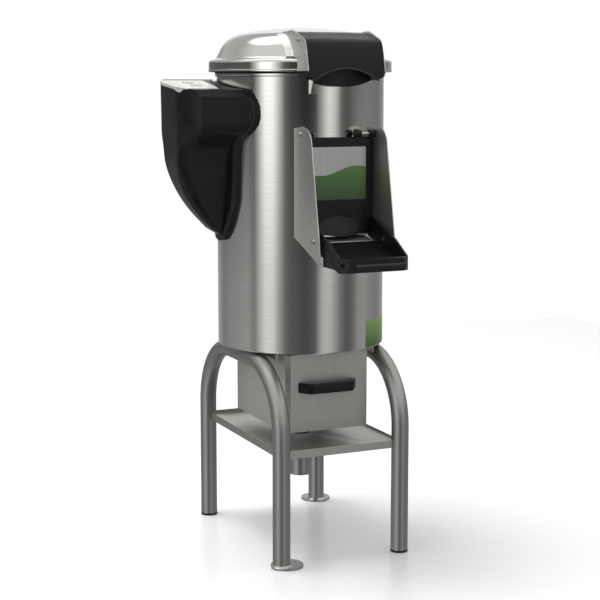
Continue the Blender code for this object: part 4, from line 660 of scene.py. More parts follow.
def dome_line():
    """Radius and height of the lid's outer face, from the crown to the rim's bead."""
    crown = [(CROWN_R * i / 10, CROWN_TOP - (CROWN_R * i / 10) ** 2 / (2 * CROWN_ARC)) for i in range(11)]
    slope = math.degrees(CROWN_R / CROWN_ARC)
    edge_r, edge_z = crown[-1]
    middle = (edge_r - KNUCKLE_ARC * math.sin(math.radians(slope)),
              edge_z - KNUCKLE_ARC * math.cos(math.radians(slope)))
    knuckle = arc(middle, KNUCKLE_ARC, 90 - slope, 90 - KNUCKLE_END, 10)[1:]
    side_r, side_z = knuckle[-1]
    shoulder_z = RIM_LOW + 27
    shoulder = (side_r + (side_z - shoulder_z) / math.tan(math.radians(KNUCKLE_END)), shoulder_z)
    foot = bent((shoulder[0] - 2.5, shoulder_z + 5), shoulder, (shoulder[0] + 5, shoulder_z - 0.3), 4)
    roll = bent((RIM_R - 10, shoulder_z - 0.6), (RIM_R - 0.9, shoulder_z - 0.8), (RIM_R - 0.9, RIM_LOW + 17), 9)
    bead = [(RIM_R - 0.9, RIM_LOW + 12), (RIM_R - 0.9, RIM_LOW + 3), (RIM_R - 0.1, RIM_LOW + 1.1),
            (RIM_R, RIM_LOW + 0.5), (RIM_R, RIM_LOW - 1.7), (RIM_R - 0.9, RIM_LOW - 2.6)]
    return crown + knuckle + foot + roll + bead


def lid():
    """The spun sheet: the outer face, and the inner face one sheet's thickness inside it."""
    outer = dome_line()
    inner = offset(outer[:-6], -SHEET)
    inner[0] = (0, CROWN_TOP - SHEET)
    inner += [(RIM_R - 3.4, RIM_LOW + 12), (RIM_R - 3.4, RIM_LOW + SHEET), (RING_R, RIM_LOW + SHEET),
              (RING_R, RIM_LOW), (RIM_R - 3, RIM_LOW), (RIM_R - 2.6, RIM_LOW - 2)]
    return turned(outer + inner[::-1])


standing_for("lid_dome", lid(), spun_lid)

GASKET_LOW, GASKET_HIGH = DRUM_TOP + 7.1, DRUM_TOP + 12.7
gasket = [(196, GASKET_LOW), (203.4, GASKET_LOW), (204, GASKET_LOW + 1), (204, GASKET_HIGH - 2), (202.6, GASKET_HIGH),
          (197.4, GASKET_HIGH), (196, GASKET_HIGH - 1.4)]
standing_for("lid_gasket", turned(gasket), seal_rubber)
edge_ring = rounded_profile([(RING_R, DRUM_TOP + 0.2), (203.8, DRUM_TOP + 0.2), (203.8, DRUM_TOP + 6.9),
                             (RING_R, DRUM_TOP + 6.9)], 1.6)
settle("drum_edge_ring", turned(edge_ring), body_of("lid_gasket"), satin_round)
print("lid sheet", SHEET, "mm, rim", 2 * RIM_R, "mm across")

# %% [markdown]
# At the back a folded strap on the lid turns on a pin between two ears. Their CAD forms are right, so they only get
# rounded edges. The handle is a moulded cover between two steel sides; fingers reach under its arch from the front.

# %% Hinge, handle and catch
for name, material, width in (
    ("lid_hinge_strap", turned_steel, 0.8), ("lid_hinge_bracket", turned_steel, 0.8),
    ("lid_catch", satin_round, 0.5),
):
    softened(name, material, width)


COVER_HALF, COVER_SHELL, COVER_LOW, APRON_R = 94.2, 3.0, 1099, 238.0
ARCH_HALF, ARCH_LOW, ARCH_RISE, WELL_BELOW = 78, 1112, 26, 1080
COVER_LINE = ((-108, 1224), (-135, 1224), (-160, 1222.5), (-178, 1219.3), (-195, 1214), (-213, 1209), (-229, 1203.5),
              (-237.5, 1196), (-243, 1183), (-249, 1159), (-254, 1132), (-256, COVER_LOW))
COVER_FACE = smooth_line(COVER_LINE, 3)


def arch_space(inset):
    """The space under the arch, in front of the round apron."""
    half = ARCH_HALF + inset
    outline = [(-half, WELL_BELOW)] + arch(half, ARCH_LOW + inset, ARCH_RISE, 40) + [(half, WELL_BELOW)]
    return solved(prism("Y", outline, -290, -190), cylinder(APRON_R - inset, 1070, 1300, ROUND))


def cover():
    """The moulded cover: its side outline drawn across, hollow below, with the finger arch cut into its apron."""
    back = COVER_LINE[0][0]
    solid = bevelled(prism("X", COVER_FACE + [(back, COVER_LOW)], -COVER_HALF, COVER_HALF), 2.4, 4, 50)
    inside = offset(COVER_FACE, COVER_SHELL)
    inside += [(inside[-1][0], 1090), (back + 5, 1090), (back + 5, inside[0][1])]
    hollow = prism("X", inside, -COVER_HALF + COVER_SHELL, COVER_HALF - COVER_SHELL)
    hollow = solved(hollow, arch_space(COVER_SHELL))
    outer = offset(dome_line(), 0.4)
    dome = turned([(0, outer[0][1])] + outer[1:] + [(RIM_R + 0.4, WELL_BELOW), (0, WELL_BELOW)])
    below = prism("Y", arch(96, COVER_LOW + 24, -24, 40) + [(96, WELL_BELOW), (-96, WELL_BELOW)], -290, 0)
    for tool in (hollow, dome, arch_space(0), below):
        solid = solved(solid, tool)
    return solid


standing_for("lid_handle_cover", cover(), black_abs)
past = offset(COVER_FACE, -2.4)
past = prism("X", past + [(-290, COVER_LOW), (-290, 1300), (-80, 1300), (-80, past[0][1])], -130, 130)
HUMP = ((-114, 1212), (-114, 1222), (-140, 1224.2), (-158, 1226.3), (-171, 1226.6), (-183, 1224), (-197, 1218.3),
        (-213, 1212.2), (-205, 1200))
for node, inner, outer in (("lid_handle_side_left", -96, -94.5), ("lid_handle_side_right", 94.5, 96)):
    side = solved(solved(cad_copy(node), past), prism("X", HUMP, inner, outer), "UNION")
    standing_for(node, bevelled(side, 0.4, 2), satin_cheek)


def front_at(level):
    """How far out the cover's face is at a level."""
    for (y0, z0), (y1, z1) in zip(COVER_LINE, COVER_LINE[1:]):
        if z1 <= level <= z0:
            return y0 + (y1 - y0) * (z0 - level) / (z0 - z1)


lip = []
for x, level in arch(ARCH_HALF, ARCH_LOW, ARCH_RISE, 48):
    steep = Vector((ARCH_HALF, -2 * ARCH_RISE * x / ARCH_HALF)).normalized()
    lip.append([(x - steep.y * a, front_at(level) - b, level + steep.x * a)
                for a, b in arc((1.8, 0.6), 2.3, 0, 360, 10)[:-1]])
# The lip is painted paler: a painted highlight along the arch
settle("cover_arch_lip", loft(lip), "lid", painted_highlight_abs, angle=60)

# %% [markdown]
# ## Side housing
# The control housing is one deep moulding: a flat outer face with large rounded corners that narrows and sweeps back
# to the drum at its foot. Its cross-sections change by a rule, so it is lofted through many of them. The table gives
# level, reach, half width, corner depth, flat share and corner roundness, as shares of the housing's sizes.

# %% Housing
TIP, TALL, REACH, HALF, TOP, SLOPE = 740.0, 360.0, 135.0, 117.0, 1104.5, 0.1127
SECTIONS = (
    (0.011, 0.03, 0.10, 0.03, 0.5, 0.8), (0.081, 0.289, 0.24, 0.15, 0.5, 0.8), (0.192, 0.563, 0.30, 0.22, 0.5, 0.8),
    (0.300, 0.765, 0.35, 0.26, 0.5, 0.8), (0.408, 0.89, 0.40, 0.28, 0.65, 0.8), (0.514, 0.955, 0.43, 0.29, 0.82, 0.8),
    (0.611, 0.968, 0.51, 0.30, 0.78, 0.7), (0.642, 0.972, 0.62, 0.30, 0.68, 0.6),
    (0.681, 0.976, 0.78, 0.30, 0.58, 0.45), (0.714, 0.98, 0.915, 0.29, 0.50, 0.35),
    (0.758, 0.985, 0.995, 0.28, 0.45, 0.3), (1.000, 1.000, 1.0, 0.274, 0.42, 0.25),
    (1.100, 1.000, 1.0, 0.274, 0.42, 0.25),
)
CHAMFER_WIDE, CHAMFER_DEEP, HIGH_ABOVE = 31, 45.1, 1257
BUTTON_X, BUTTON_Y, BORE_R = -275, 28, 11.3
ALONG, UP = Vector((0, 1, SLOPE)).normalized(), Vector((0, -SLOPE, 1)).normalized()


def between_sections(steps):
    """The table's rows with smooth rows between them, where the width doesn't pass its widest."""
    rows = []
    for i in range(len(SECTIONS) - 1):
        a, b = SECTIONS[i], SECTIONS[i + 1]
        before, after = SECTIONS[max(0, i - 1)], SECTIONS[min(len(SECTIONS) - 1, i + 2)]
        for k in range(steps):
            t = k / steps
            row = []
            for p, x, y, q in zip(before, a, b, after):
                m0, m1 = (y - p) / 2, (q - x) / 2
                if (y - x) * m0 <= 0:
                    m0 = 0
                if (y - x) * m1 <= 0:
                    m1 = 0
                cap = 2.4 * abs(y - x)
                m0, m1 = max(-cap, min(cap, m0)), max(-cap, min(cap, m1))
                row.append((2 * t ** 3 - 3 * t * t + 1) * x + (t ** 3 - 2 * t * t + t) * m0
                           + (3 * t * t - 2 * t ** 3) * y + (t ** 3 - t * t) * m1)
            row[0] = a[0] + (b[0] - a[0]) * t
            rows.append(row)
    return rows + [SECTIONS[-1]]


def housing_body(inset):
    """The moulding's outer form, or one that lies inside it by an inset."""
    rings = []
    for level, reach, half, depth, flat, roundness in between_sections(4):
        outer = -DRUM_R - reach * REACH + inset
        side = half * HALF - inset
        start, end = Vector((outer + depth * REACH, side)), Vector((outer, flat * side))
        middle = start.lerp(end, 0.5).lerp(Vector((outer, side)), roundness)
        line = [(-100 + inset, side)] + bent(start, middle, end, 9)
        rings.append([(x, y, TIP + level * TALL + inset) for x, y in line + [(x, -y) for x, y in reversed(line)]])
    return loft(rings)


def top_level(y):
    """The height of the sloping top."""
    return TOP + SLOPE * y


def over_top(drop):
    """Everything over the sloping top and its two chamfers."""
    edge = HALF - 11
    far = edge + CHAMFER_WIDE
    line = [(-far, top_level(-edge) - CHAMFER_DEEP - drop), (-edge, top_level(-edge) - drop),
            (edge, top_level(edge) - drop), (far, top_level(edge) - CHAMFER_DEEP - drop), (far, HIGH_ABOVE),
            (-far, HIGH_ABOVE)]
    return prism("X", line, -DRUM_R - REACH - 20, 20)


def on_slope(x, y, up=0):
    """A point on the sloping top, y along the slope from its middle, or over it."""
    return Vector((x, 0, top_level(0))) + ALONG * y + UP * up


def on_top(name, profile, steps, y, material, node=None, body="frame"):
    """A turned piece that stands upright on the sloping top."""
    mesh = turned(profile, steps, direction=UP, foot=on_slope(BUTTON_X, y))
    return settle(name, mesh, body, material, node)


button_bores = [cylinder(BORE_R, -20, 20, 40, direction=UP, foot=on_slope(BUTTON_X, y)) for y in (-BUTTON_Y, BUTTON_Y)]
gland_hole = cylinder(8, -20, 20, direction=(0, 1, 0), foot=(BUTTON_X, HALF, 1030))
pinhole = cylinder(2.2, -12, 12, 20, direction=(-1, 0, 0), foot=(-334, -62, 1046))
back = cylinder(DRUM_R + 12.6, 0, 1300, ROUND)
housing = solved(housing_body(0), over_top(0))
cavity = solved(housing_body(3.5), over_top(3.5))
for cutter in (cavity, back, *button_bores, gland_hole, pinhole):
    housing = solved(housing, cutter)
standing_for("side_housing", bevelled(housing, 1.6, 3, 26), black_abs, angle=30)
softened("side_collar", black_abs, 2.0, 3)
print("housing sections", len(between_sections(4)))

# %% [markdown]
# The top carries a printed film with a start and a stop button. The film is pale with one green line, and the
# buttons carry the usual bar and ring. Flat collars seat the buttons.

# %% Control panel
def film_sheet(out):
    """A thin sheet that lies over the housing like a skin."""
    skin = solved(housing_body(-out), over_top(-out))
    return solved(solved(bevelled(skin, 1.6, 3, 26), solved(housing_body(1), over_top(1))), back)


FILM_PLAN = ((-222, 78), (-333, 78), (-333, -89), (-243, -89), (-232, -30), (-226, 30))
crust = [(y, top_level(y) + up) for y, up in ((-120, -1.6), (120, -1.6), (120, 30), (-120, 30))]
panel = solved(film_sheet(0.8), prism("Z", FILM_PLAN, 1070, 1130), "INTERSECT")
panel = solved(panel, prism("X", crust, -360, -190), "INTERSECT")
for bore in button_bores:
    panel = solved(panel, bore)
standing_for("control_panel", panel, pale_film)
# The film laps over the outer edge and ends in a pointed tab at the corner
TAB_NEAR = ((-418, 1118), (-415, 1105), (-407, 1101.4), (-395.8, 1098.3), (-383.2, 1094.4), (-376.4, 1089.2),
            (-370.7, 1086.6), (-364.9, 1089.6), (-357.6, 1096.5), (-352, 1101.3), (-386, 1116))
TAB_FAR = ((-330, 1119.8), (-326.6, 1105.4), (-318, 1101.2), (-305.6, 1097.9), (-292, 1093.6), (-284.5, 1088),
           (-278.3, 1085.1), (-272, 1088.4), (-264.1, 1095.9), (-258, 1101.1), (-295.4, 1117.5))
tab = loft([[(x, y, z) for x, z in row] for y, row in ((-180, TAB_NEAR), (80, TAB_FAR))])
settle("control_film_tab", solved(film_sheet(0.6), tab, "INTERSECT"), "frame", pale_film)


def film(name, outline, z_low, z_high, material):
    """A thin printed field on the panel, given by x and distance along the slope."""
    rings = [[on_slope(x, y, z) for x, y in outline] for z in (z_low, z_high)]
    return settle(name, loft(rings), "frame", material)


PANEL_FACE = 0.8
film("control_field_green", [(-323, -52), (-323, 54), (-316, 56), (-316, -54)], PANEL_FACE - 0.1, PANEL_FACE + 0.1,
     leaf_film)
cap = [(0, 1.5), (9.6, 1.4), (10.6, 1.1), (11, 0.6), (11, -3.8), (14, -3.8), (14, -5.8), (0, -5.8)]
collar = [(11.5, 0.7), (14.5, 0.7), (14.5, 1.2), (13.8, 1.6), (12.2, 1.6), (11.5, 1.3)]
for button, y, material in (("start_button", -BUTTON_Y, green_cap), ("stop_button", BUTTON_Y, red_cap)):
    on_top(f"{button}_fine", cap, 48, y, material, button, button)
    on_top(f"{button}_collar", collar, 48, y, turned_steel)
mark_ring = [(2.6, 1.3), (3.6, 1.3), (3.6, 1.7), (2.6, 1.7)]
on_top("stop_button_ring", mark_ring, 32, BUTTON_Y, pale_film, body="stop_button")
bar = cylinder(0.4, -3.4, 3.4, 12, direction=(1, 0, 0), foot=on_slope(BUTTON_X, -BUTTON_Y, 1.45))
settle("start_button_bar", bar, "start_button", pale_film)
for name, material, width in (("switch_block", relay_plastic, 0.8), ("relay_chassis", turned_steel, 0.4),
                              ("contactor", relay_plastic, 1.2), ("cable_gland", handle_nylon, 0.5)):
    softened(name, material, width)
print("panel at", round(top_level(0), 1), "mm")

# %% [markdown]
# ## Discharge outlet
# A black frame is clamped over the opening between two brushed steel cheeks, with a steel sill below and a rubber seal
# behind the door. Their CAD forms are right, so they get rounded edges.

# %% Frame, cheeks and sill
for name, material, width in (
    ("outlet_frame", outlet_abs, 1.2), ("outlet_cheek_left", satin_cheek, 0.5),
    ("outlet_cheek_right", satin_cheek, 0.5), ("outlet_sill", satin_cheek, 0.5), ("door_seal", seal_rubber, 0.9),
):
    softened(name, material, width)
print("cheeks", [round(v, 1) for v in span("outlet_cheek_left")[0]])

# %% [markdown]
# The door hangs from a rod and shows a printed label above a horizontal band, and its lower edge swells out into an
# arched grip. The label is left bare: a silver field over a green one.

# %% Door
DOOR_FRONT, DOOR_BACK, DOOR_LOW, DOOR_HIGH, DOOR_HALF = 215.0, 207.0, 760.0, 982.0, 76.0
ROD_Y, ROD_Z, GRIP_HALF, GRIP_MIDDLE = -212.0, 993.0, 72.0, DOOR_LOW + 13
FIELD_HALF, LABEL_HALF, LABEL_LOW, LABEL_HIGH, BAND_LOW, BAND_HIGH = 69, 68.6, 843, 964, 806, 828

label_y = -DOOR_FRONT + 1.2


def grip_section(place, inset):
    """The grip's outline across the door at a place from -1 to 1: root, arched upper lip, bulge and lower edge."""
    middle = max(0.0, 1 - place * place)
    upper = GRIP_MIDDLE + 33 * middle - inset * 2
    lower = GRIP_MIDDLE - 13 * middle + 1 - inset * 4
    out = 22 * middle - inset
    points = []
    for t in even(12, 0):
        bulge = t * (1.4 - 0.4 * t)
        points.append((-DOOR_FRONT + 0.3 - (out + 0.3) * bulge, upper + (lower - upper) * t))
    quarter = (upper - lower) / 4
    root = -DOOR_FRONT + (0.6 if inset else 3)
    return [(root, upper - quarter)] + points + [(root, lower + quarter)]


def grip(widest, inset):
    """The grip's solid, lofted across the door."""
    return loft([[(place * GRIP_HALF, y, z) for y, z in grip_section(place, inset)]
                 for place in even(40, -widest, widest)])


def door():
    """The plate with two sunk fields, and two knuckles on its upper edge that turn on the rod."""
    line = [(-DOOR_HALF, DOOR_HIGH), (-DOOR_HALF, 775)] + arch(GRIP_HALF, GRIP_MIDDLE, -13, 40)
    line += [(DOOR_HALF, 775), (DOOR_HALF, DOOR_HIGH)]
    plate = prism("Y", line, -DOOR_FRONT, -DOOR_BACK)
    for low_z, high_z in ((LABEL_LOW, LABEL_HIGH), (BAND_LOW, BAND_HIGH)):
        plate = solved(plate, block((-FIELD_HALF, -DOOR_FRONT - 20, low_z), (FIELD_HALF, label_y, high_z)))
    for near, far, radius in ((-73, -64, 5.4), (40, 56, 8)):
        web = block((near, -DOOR_FRONT, DOOR_HIGH - 1), (far, -DOOR_BACK, ROD_Z))
        knuckle = prism("X", arc((ROD_Y, ROD_Z), radius, 0, 360, 48)[:-1], near, far)
        plate = solved(solved(plate, web, "UNION"), knuckle, "UNION")
    bore = prism("X", arc((ROD_Y, ROD_Z), 4.3, 0, 360, 24)[:-1], -80, 80)
    return bevelled(solved(plate, bore), 0.7, 2, 40)


standing_for("discharge_door", door(), outlet_abs)
grip_shell = solved(grip(0.97, 0), grip(0.9, 2))
settle("door_grip", grip_shell, "door", grip_abs, angle=50)
silver = bevelled(block((-LABEL_HALF, label_y - 0.7, LABEL_LOW + 1), (LABEL_HALF, label_y + 0.1, 963.6)), 0.25)
edge = [(LABEL_HALF * s, 901 + 17 * (s + 1) / 2 + 6 * math.sin(math.pi * s)) for s in even(24)]
edge += [(LABEL_HALF, LABEL_LOW + 0.4), (-LABEL_HALF, LABEL_LOW + 0.4)]
green = prism("Y", edge, label_y - 0.85, label_y + 0.1)
settle("door_label_silver", silver, "door", silver_film)
settle("door_label_green", green, "door", green_door_film)
band = bevelled(block((-LABEL_HALF, label_y - 0.8, BAND_LOW + 0.5), (LABEL_HALF, label_y + 0.1, BAND_HIGH - 0.5)), 0.3)
settle("door_band", band, "door", handle_nylon)
print("door", DOOR_HIGH - DOOR_LOW, "mm tall")

# %% [markdown]
# The tray tips down on two pins; its rounded bar is the grip. The CAD form is right, so its corners are rounded. The
# rod and the pins end in heads with hexagon sockets, which the screw tree below makes.

# %% Tray, rod and pins
TRAY_FRONT, BAR_LOW, BAR_HIGH = 407.0, 698.0, 729.0
softened("chute_tray", outlet_abs, 1.5, 3)
bar_face = [(y - TRAY_FRONT, z + (BAR_LOW + BAR_HIGH) / 2 - 1) for y, z in arc((3, 0), 5.4, 0, 360, 28)[:-1]]
settle("tray_bar_roll", prism("X", bar_face, -52, 72), "tray", gloss_abs)
skirt = bevelled(prism("X", [(-313, 750), (-312, 704), (-378, 704), (-345, 741)], -86, -81), 0.8)
settle("tray_skirt", skirt, "tray", outlet_abs)
PIN_Y, PIN_Z = -282, 757
head = [(6.5, 95.6), (5.6, 97.6), (3.5, 98.6), (0, 98.6)]
studs = [turned([(0, inner), (4, inner + 0.1), (4, 95.3), (6.5, 95.35), *head], 40, direction=(side, 0, 0),
                foot=(0, ROD_Y, ROD_Z)) for side, inner in ((-1, 62), (1, 38))]
standing_for("door_hinge_rod", solved(*studs, "UNION"), turned_steel)
spacer = rounded_profile([(4.2, 77), (9, 77), (9, 92.7), (4.2, 92.7)], 0.9)
settle("hinge_spacer", turned(spacer, 40, direction=(1, 0, 0), foot=(0, ROD_Y, ROD_Z)), body_of("door_hinge_rod"),
       handle_nylon)
for side, word in ((-1, "left"), (1, "right")):
    profile = [(0, 79), (4, 79), (4, 86), (6, 86), (6, 92.7), (4, 92.7), (4, 95.3), (6.5, 95.3), *head]
    pin = turned(profile, 32, direction=(side, 0, 0), foot=(0, PIN_Y, PIN_Z))
    standing_for(f"tray_pin_{word}", pin, turned_steel)
print("tray", [round(v) for v in span("chute_tray")[0]])

# %% [markdown]
# ## Filter drawer
# The drawer hangs under the drum in a folded sheet housing. Its front is a thick folded panel with soft edges, and a
# black bow handle is screwed on from behind.

# %% Drawer
softened("drawer_housing", folded_housing, 0.7, 2)
corner = span("filter_drawer")[0]
fold = prism("Z", [(corner.x - 1, corner.y - 1), (corner.x + 11, corner.y - 1), (corner.x + 11, corner.y),
                   (corner.x, corner.y + 6.5), (corner.x - 1, corner.y + 6.5)], 200, 480)
standing_for("filter_drawer", bevelled(solved(cad_copy("filter_drawer"), fold), 1.0, 3), folded_pan)
BOW_HALF, BOW_FACE, BOW_LOW, BOW_HIGH = 74.0, -154.3, 387.5, 412.5


def bow():
    """A bow handle: a rounded bar swept from foot to foot, flat on the drawer's face."""
    outer, bar = BOW_FACE, BOW_FACE - 31
    bend = bent((-BOW_HALF + 14, bar + 8), (-BOW_HALF + 18, bar), (-BOW_HALF + 28, bar), 8)
    side = [(-BOW_HALF, outer), (-BOW_HALF + 0.8, outer - 4)] + bend
    line = side + [(-x, y) for x, y in reversed(side)]
    inner = offset(line, 12)
    rings = []
    middle = (BOW_LOW + BOW_HIGH) / 2
    for (x0, y0), (x1, y1) in zip(line, inner):
        centre = Vector(((x0 + x1) / 2, (y0 + y1) / 2))
        half = Vector((x0, y0)) - centre
        ring = []
        for k in range(20):
            a = 2 * math.pi * k / 20
            c, s = math.cos(a), math.sin(a)
            across = math.copysign(abs(c) ** 0.4, c)
            tall = math.copysign(abs(s) ** 0.4, s) * (BOW_HIGH - BOW_LOW) / 2
            ring.append((centre.x + half.x * across, centre.y + half.y * across, middle + tall))
        rings.append(ring)
    return loft(rings)


standing_for("drawer_handle", bow(), handle_nylon, 40)
print("handle", 2 * BOW_HALF, "mm between its feet")

# %% [markdown]
# ## Stand
# Two tubes of 41 mm are bent into frames and stand on round plates and rubber caps. Tubes follow a path by rule, so a
# Geometry Nodes tree sweeps a circle along a bent curve. The socket identifiers come from the tree's own interface.

# %% Tube tree


def new_tree(name, **inputs):
    """A geometry tree with a mesh output and named inputs: floats, vectors or materials."""
    tree = bpy.data.node_groups.new(name, "GeometryNodeTree")
    tree.interface.new_socket("Geometry", in_out="OUTPUT", socket_type="NodeSocketGeometry")
    kinds = {"float": "NodeSocketFloat", "int": "NodeSocketInt", "vector": "NodeSocketVector",
             "material": "NodeSocketMaterial", "geometry": "NodeSocketGeometry"}
    sockets = {}
    for key, kind in inputs.items():
        sockets[key] = tree.interface.new_socket(key, in_out="INPUT", socket_type=kinds[kind]).identifier
    start = add(tree, "NodeGroupInput")
    return tree, start.outputs, sockets


def end_tree(tree, geometry, material):
    """Realize Instances and Set Material, then the output."""
    real = add(tree, "GeometryNodeRealizeInstances", links={0: geometry})
    dressed = add(tree, "GeometryNodeSetMaterial", links={"Geometry": real, "Material": material})
    add(tree, "NodeGroupOutput", links={0: dressed})


def grown(tree, sockets, values, mesh=None):
    """The mesh that a tree makes from values for its inputs, in world metres."""
    obj = bpy.data.objects.new("grower", mesh or bpy.data.meshes.new("seed"))
    bpy.context.scene.collection.objects.link(obj)
    modifier = obj.modifiers.new("grow", "NODES")
    modifier.node_group = tree
    for key, value in values.items():
        modifier[sockets[key]] = value
    result = bpy.data.meshes.new_from_object(obj.evaluated_get(bpy.context.evaluated_depsgraph_get()))
    obj.modifiers.remove(modifier)
    bpy.data.objects.remove(obj)
    return result


tube_tree, tube_in, tube_sockets = new_tree(
    "swept_tube", Path="geometry", Radius="float", Sides="int", Finish="material")
as_curve = add(tube_tree, "GeometryNodeMeshToCurve", links={0: tube_in["Path"]})
circle = add(tube_tree, "GeometryNodeCurvePrimitiveCircle",
             links={"Resolution": tube_in["Sides"], "Radius": tube_in["Radius"]})
swept = add(tube_tree, "GeometryNodeCurveToMesh", {"Fill Caps": True},
            {"Curve": as_curve.outputs[0], "Profile Curve": circle.outputs[0]})
end_tree(tube_tree, swept.outputs[0], tube_in["Finish"])


def tube(points, radius, material, sides=48):
    """A tube along points in machine millimetres."""
    path = bpy.data.meshes.new("path")
    path.from_pydata([to_world @ Vector(p) for p in points], [(i, i + 1) for i in range(len(points) - 1)], [])
    values = {"Radius": radius * MM, "Sides": sides, "Finish": material}
    made = grown(tube_tree, tube_sockets, values, path)
    work = bmesh.new()
    work.from_mesh(made)
    bmesh.ops.remove_doubles(work, verts=work.verts, dist=1e-6)
    bmesh.ops.recalc_face_normals(work, faces=work.faces)
    work.to_mesh(made)
    work.free()
    return made


# %% [markdown]
# Each frame is one tube: up from the floor, over a wide bend, level under the drum, and down the same way behind.

# %% Stand frames
LEG_X, LEG_Y, BEND, TUBE_R, TUBE_TOP = 153.0, 235.0, 160.0, 20.5, 462.6
for x, word in ((-LEG_X, "left"), (LEG_X, "right")):
    line = [(-LEG_Y, z) for z in (5.3, 120, 240)] + arc((-LEG_Y + BEND, TUBE_TOP - BEND), BEND, 180, 90, 20)
    line += [(-y, z) for y, z in reversed(line)]
    standing_for(f"stand_frame_{word}", tube([(x, y, z) for y, z in line], TUBE_R, ground_tube), ground_tube, 40)
print("stand", 2 * LEG_X, "by", 2 * LEG_Y, "mm between the legs' middles")

# %% [markdown]
# The shelf is a folded pan. Its floor falls to the drain pipe in the middle, so that it runs dry.

# %% Shelf and drain pipe
PAN_SHEET, PAN_FALL, DRAIN_HALF, CREASE_X, OVERRUN = 1.5, 12.0, 27.5, 104.0, 9


def pan():
    """The shelf's pan: its floor falls to the drain in four facets, whose creases meet the front and back lips."""
    low, high = span("stand_shelf")
    side, front = high.x - PAN_SHEET, high.y - PAN_SHEET
    floor_z = low.z + PAN_SHEET
    crease_z = floor_z + PAN_FALL * (CREASE_X - DRAIN_HALF) / (side - DRAIN_HALF)

    def hopper(axis, half, rise_z, along):
        """The space over a floor that falls from both sides."""
        rise = [(DRAIN_HALF, floor_z), (half, rise_z), (half, high.z + OVERRUN)]
        return prism(axis, rise + [(-a, z) for a, z in reversed(rise)], -along, along)

    space = solved(hopper("Y", side, floor_z + PAN_FALL, front), hopper("X", front, crease_z, side), "INTERSECT")
    solid = solved(block(low, high), space)
    return bevelled(solved(solid, cylinder(DRAIN_HALF - 2, low.z - OVERRUN, high.z, 48)), 0.8, 3)


standing_for("stand_shelf", pan(), folded_pan, 3)
PIPE = [(25.5, 150.8), (26, 150), (27, 150), (27.5, 150.8), (27.5, 252.7), (25.5, 252.7)]
standing_for("drain_pipe", turned(PIPE, 72), ground_tube)
print("pan falls", PAN_FALL, "mm")

# %% [markdown]
# Two legs stand on round plates, welded on and drilled for a floor bolt. The other two have flat rubber feet.

# %% Feet
for node, leg, shift in (("foot_plate_front_left", (-LEG_X, -LEG_Y), (17, 7)),
                         ("foot_plate_back_right", (LEG_X, LEG_Y), (5, 15))):
    centre = Vector(leg) + Vector(shift)
    plate = turned(rounded_profile([(0, 0), (38, 0), (38, 5), (0, 5)], 1.4), 96, centre=centre)
    spot = centre + Vector(shift).normalized() * 27
    drill = turned([(0, -2), (4.5, -2), (4.5, 3.6), (6.6, 5.6), (6.6, 8), (0, 8)], 40, centre=spot)
    standing_for(node, solved(plate, drill), ground_tube)
    weld_ring = [(20.2, 4.9), (24.6, 4.9), (23.6, 5.9), (21.8, 7.6), (20.4, 9.4), (20.2, 9.4)]
    settle(f"{node}_weld", turned(weld_ring, 48, centre=leg), "frame", turned_steel)
for node, leg in (("foot_cap_back_left", (-LEG_X, LEG_Y)), ("foot_cap_front_right", (LEG_X, -LEG_Y))):
    pad = rounded_profile([(0, 0), (20.9, 0), (20.9, 5), (0, 5)], 1.2)
    standing_for(node, turned(pad, 72, centre=leg), foot_rubber)
print("feet", 4)

# %% [markdown]
# ## Inside the drum
# With the lid or the door open one sees the washing disc: a steel plate coated with grit, with six rounded ribs that
# throw the mussels against the wall. The drive under the floor is plain turned and cast parts.

# %% Washing disc and floor
DISC_LOW, DISC_TOP, DISC_R, RIBS = 750.0, 756.0, 193.0, 6


def washing_disc():
    """The plate with its hub, and the ribs that run out from it."""
    profile = [(8.3, DISC_LOW), (DISC_R - 1.5, DISC_LOW), (DISC_R, DISC_LOW + 1.5), (DISC_R, DISC_TOP - 1.5),
               (DISC_R - 1.5, DISC_TOP), (28, DISC_TOP), (26, DISC_TOP + 1), (24.6, DISC_TOP + 7),
               (23.4, DISC_TOP + 8), (8.3, DISC_TOP + 8)]
    disc = turned(profile, 128)
    for i in range(RIBS):
        angle = math.radians(360 / RIBS * i + 30)
        rings = []
        for t in even(20, 0):
            out = 20 + 161 * t
            swell = max(0.05, min(1, t * 8, (1 - t) * 8)) ** 0.5
            ring = [(out, 7.5 * swell * math.cos(a), DISC_TOP - 0.6 + 7.4 * swell * math.sin(a))
                    for a in even(8, 0, math.pi)]
            rings.append([Matrix.Rotation(angle, 3, "Z") @ Vector(p) for p in ring])
        disc = solved(disc, loft(rings), "UNION")
    return disc


standing_for("cleaning_disc", washing_disc(), grit_coat, 40)
nut = [(8.3, 764.3), (15, 764.3), (15, 770.8), (7.5, 777.3), (0, 777.3), (0, 771.8), (8.3, 771.8)]
standing_for("disc_nut", turned(rounded_profile(nut, 1.6), 48), turned_steel)
for name, material, width in (
    ("bowl_floor", dark_steel, 0.6), ("base_plate", dark_steel, 0.5), ("drain_duct", dark_steel, 0.2),
    ("bearing_housing", cast_grey, 1.0), ("driven_pulley", cast_grey, 0.8), ("motor_pulley", turned_steel, 0.6),
    ("motor", cast_grey, 1.4), ("drive_belt", belt_rubber, 0.5), ("filter_screen", turned_steel, 0.3),
    ("water_inlet", turned_steel, 0.5), ("drive_shaft", turned_steel, 0.5), ("motor_shaft", turned_steel, 0.5),
    ("lid_hinge_pin", turned_steel, 0.4), ("upper_bearing", turned_steel, 0.5), ("lower_bearing", turned_steel, 0.5),
    ("shaft_seal", seal_rubber, 0.5),
):
    softened(name, material, width)
print("ribs on the disc", RIBS)

# %% [markdown]
# ## Screws
# Button-head screws with a hexagon socket hold the handle, cheeks, stand and hinge. They repeat, so one Geometry
# Nodes tree places a small screw on every point of a mesh and turns it along the point's own direction. The points
# that belong to one body make one piece.

# %% Screw tree


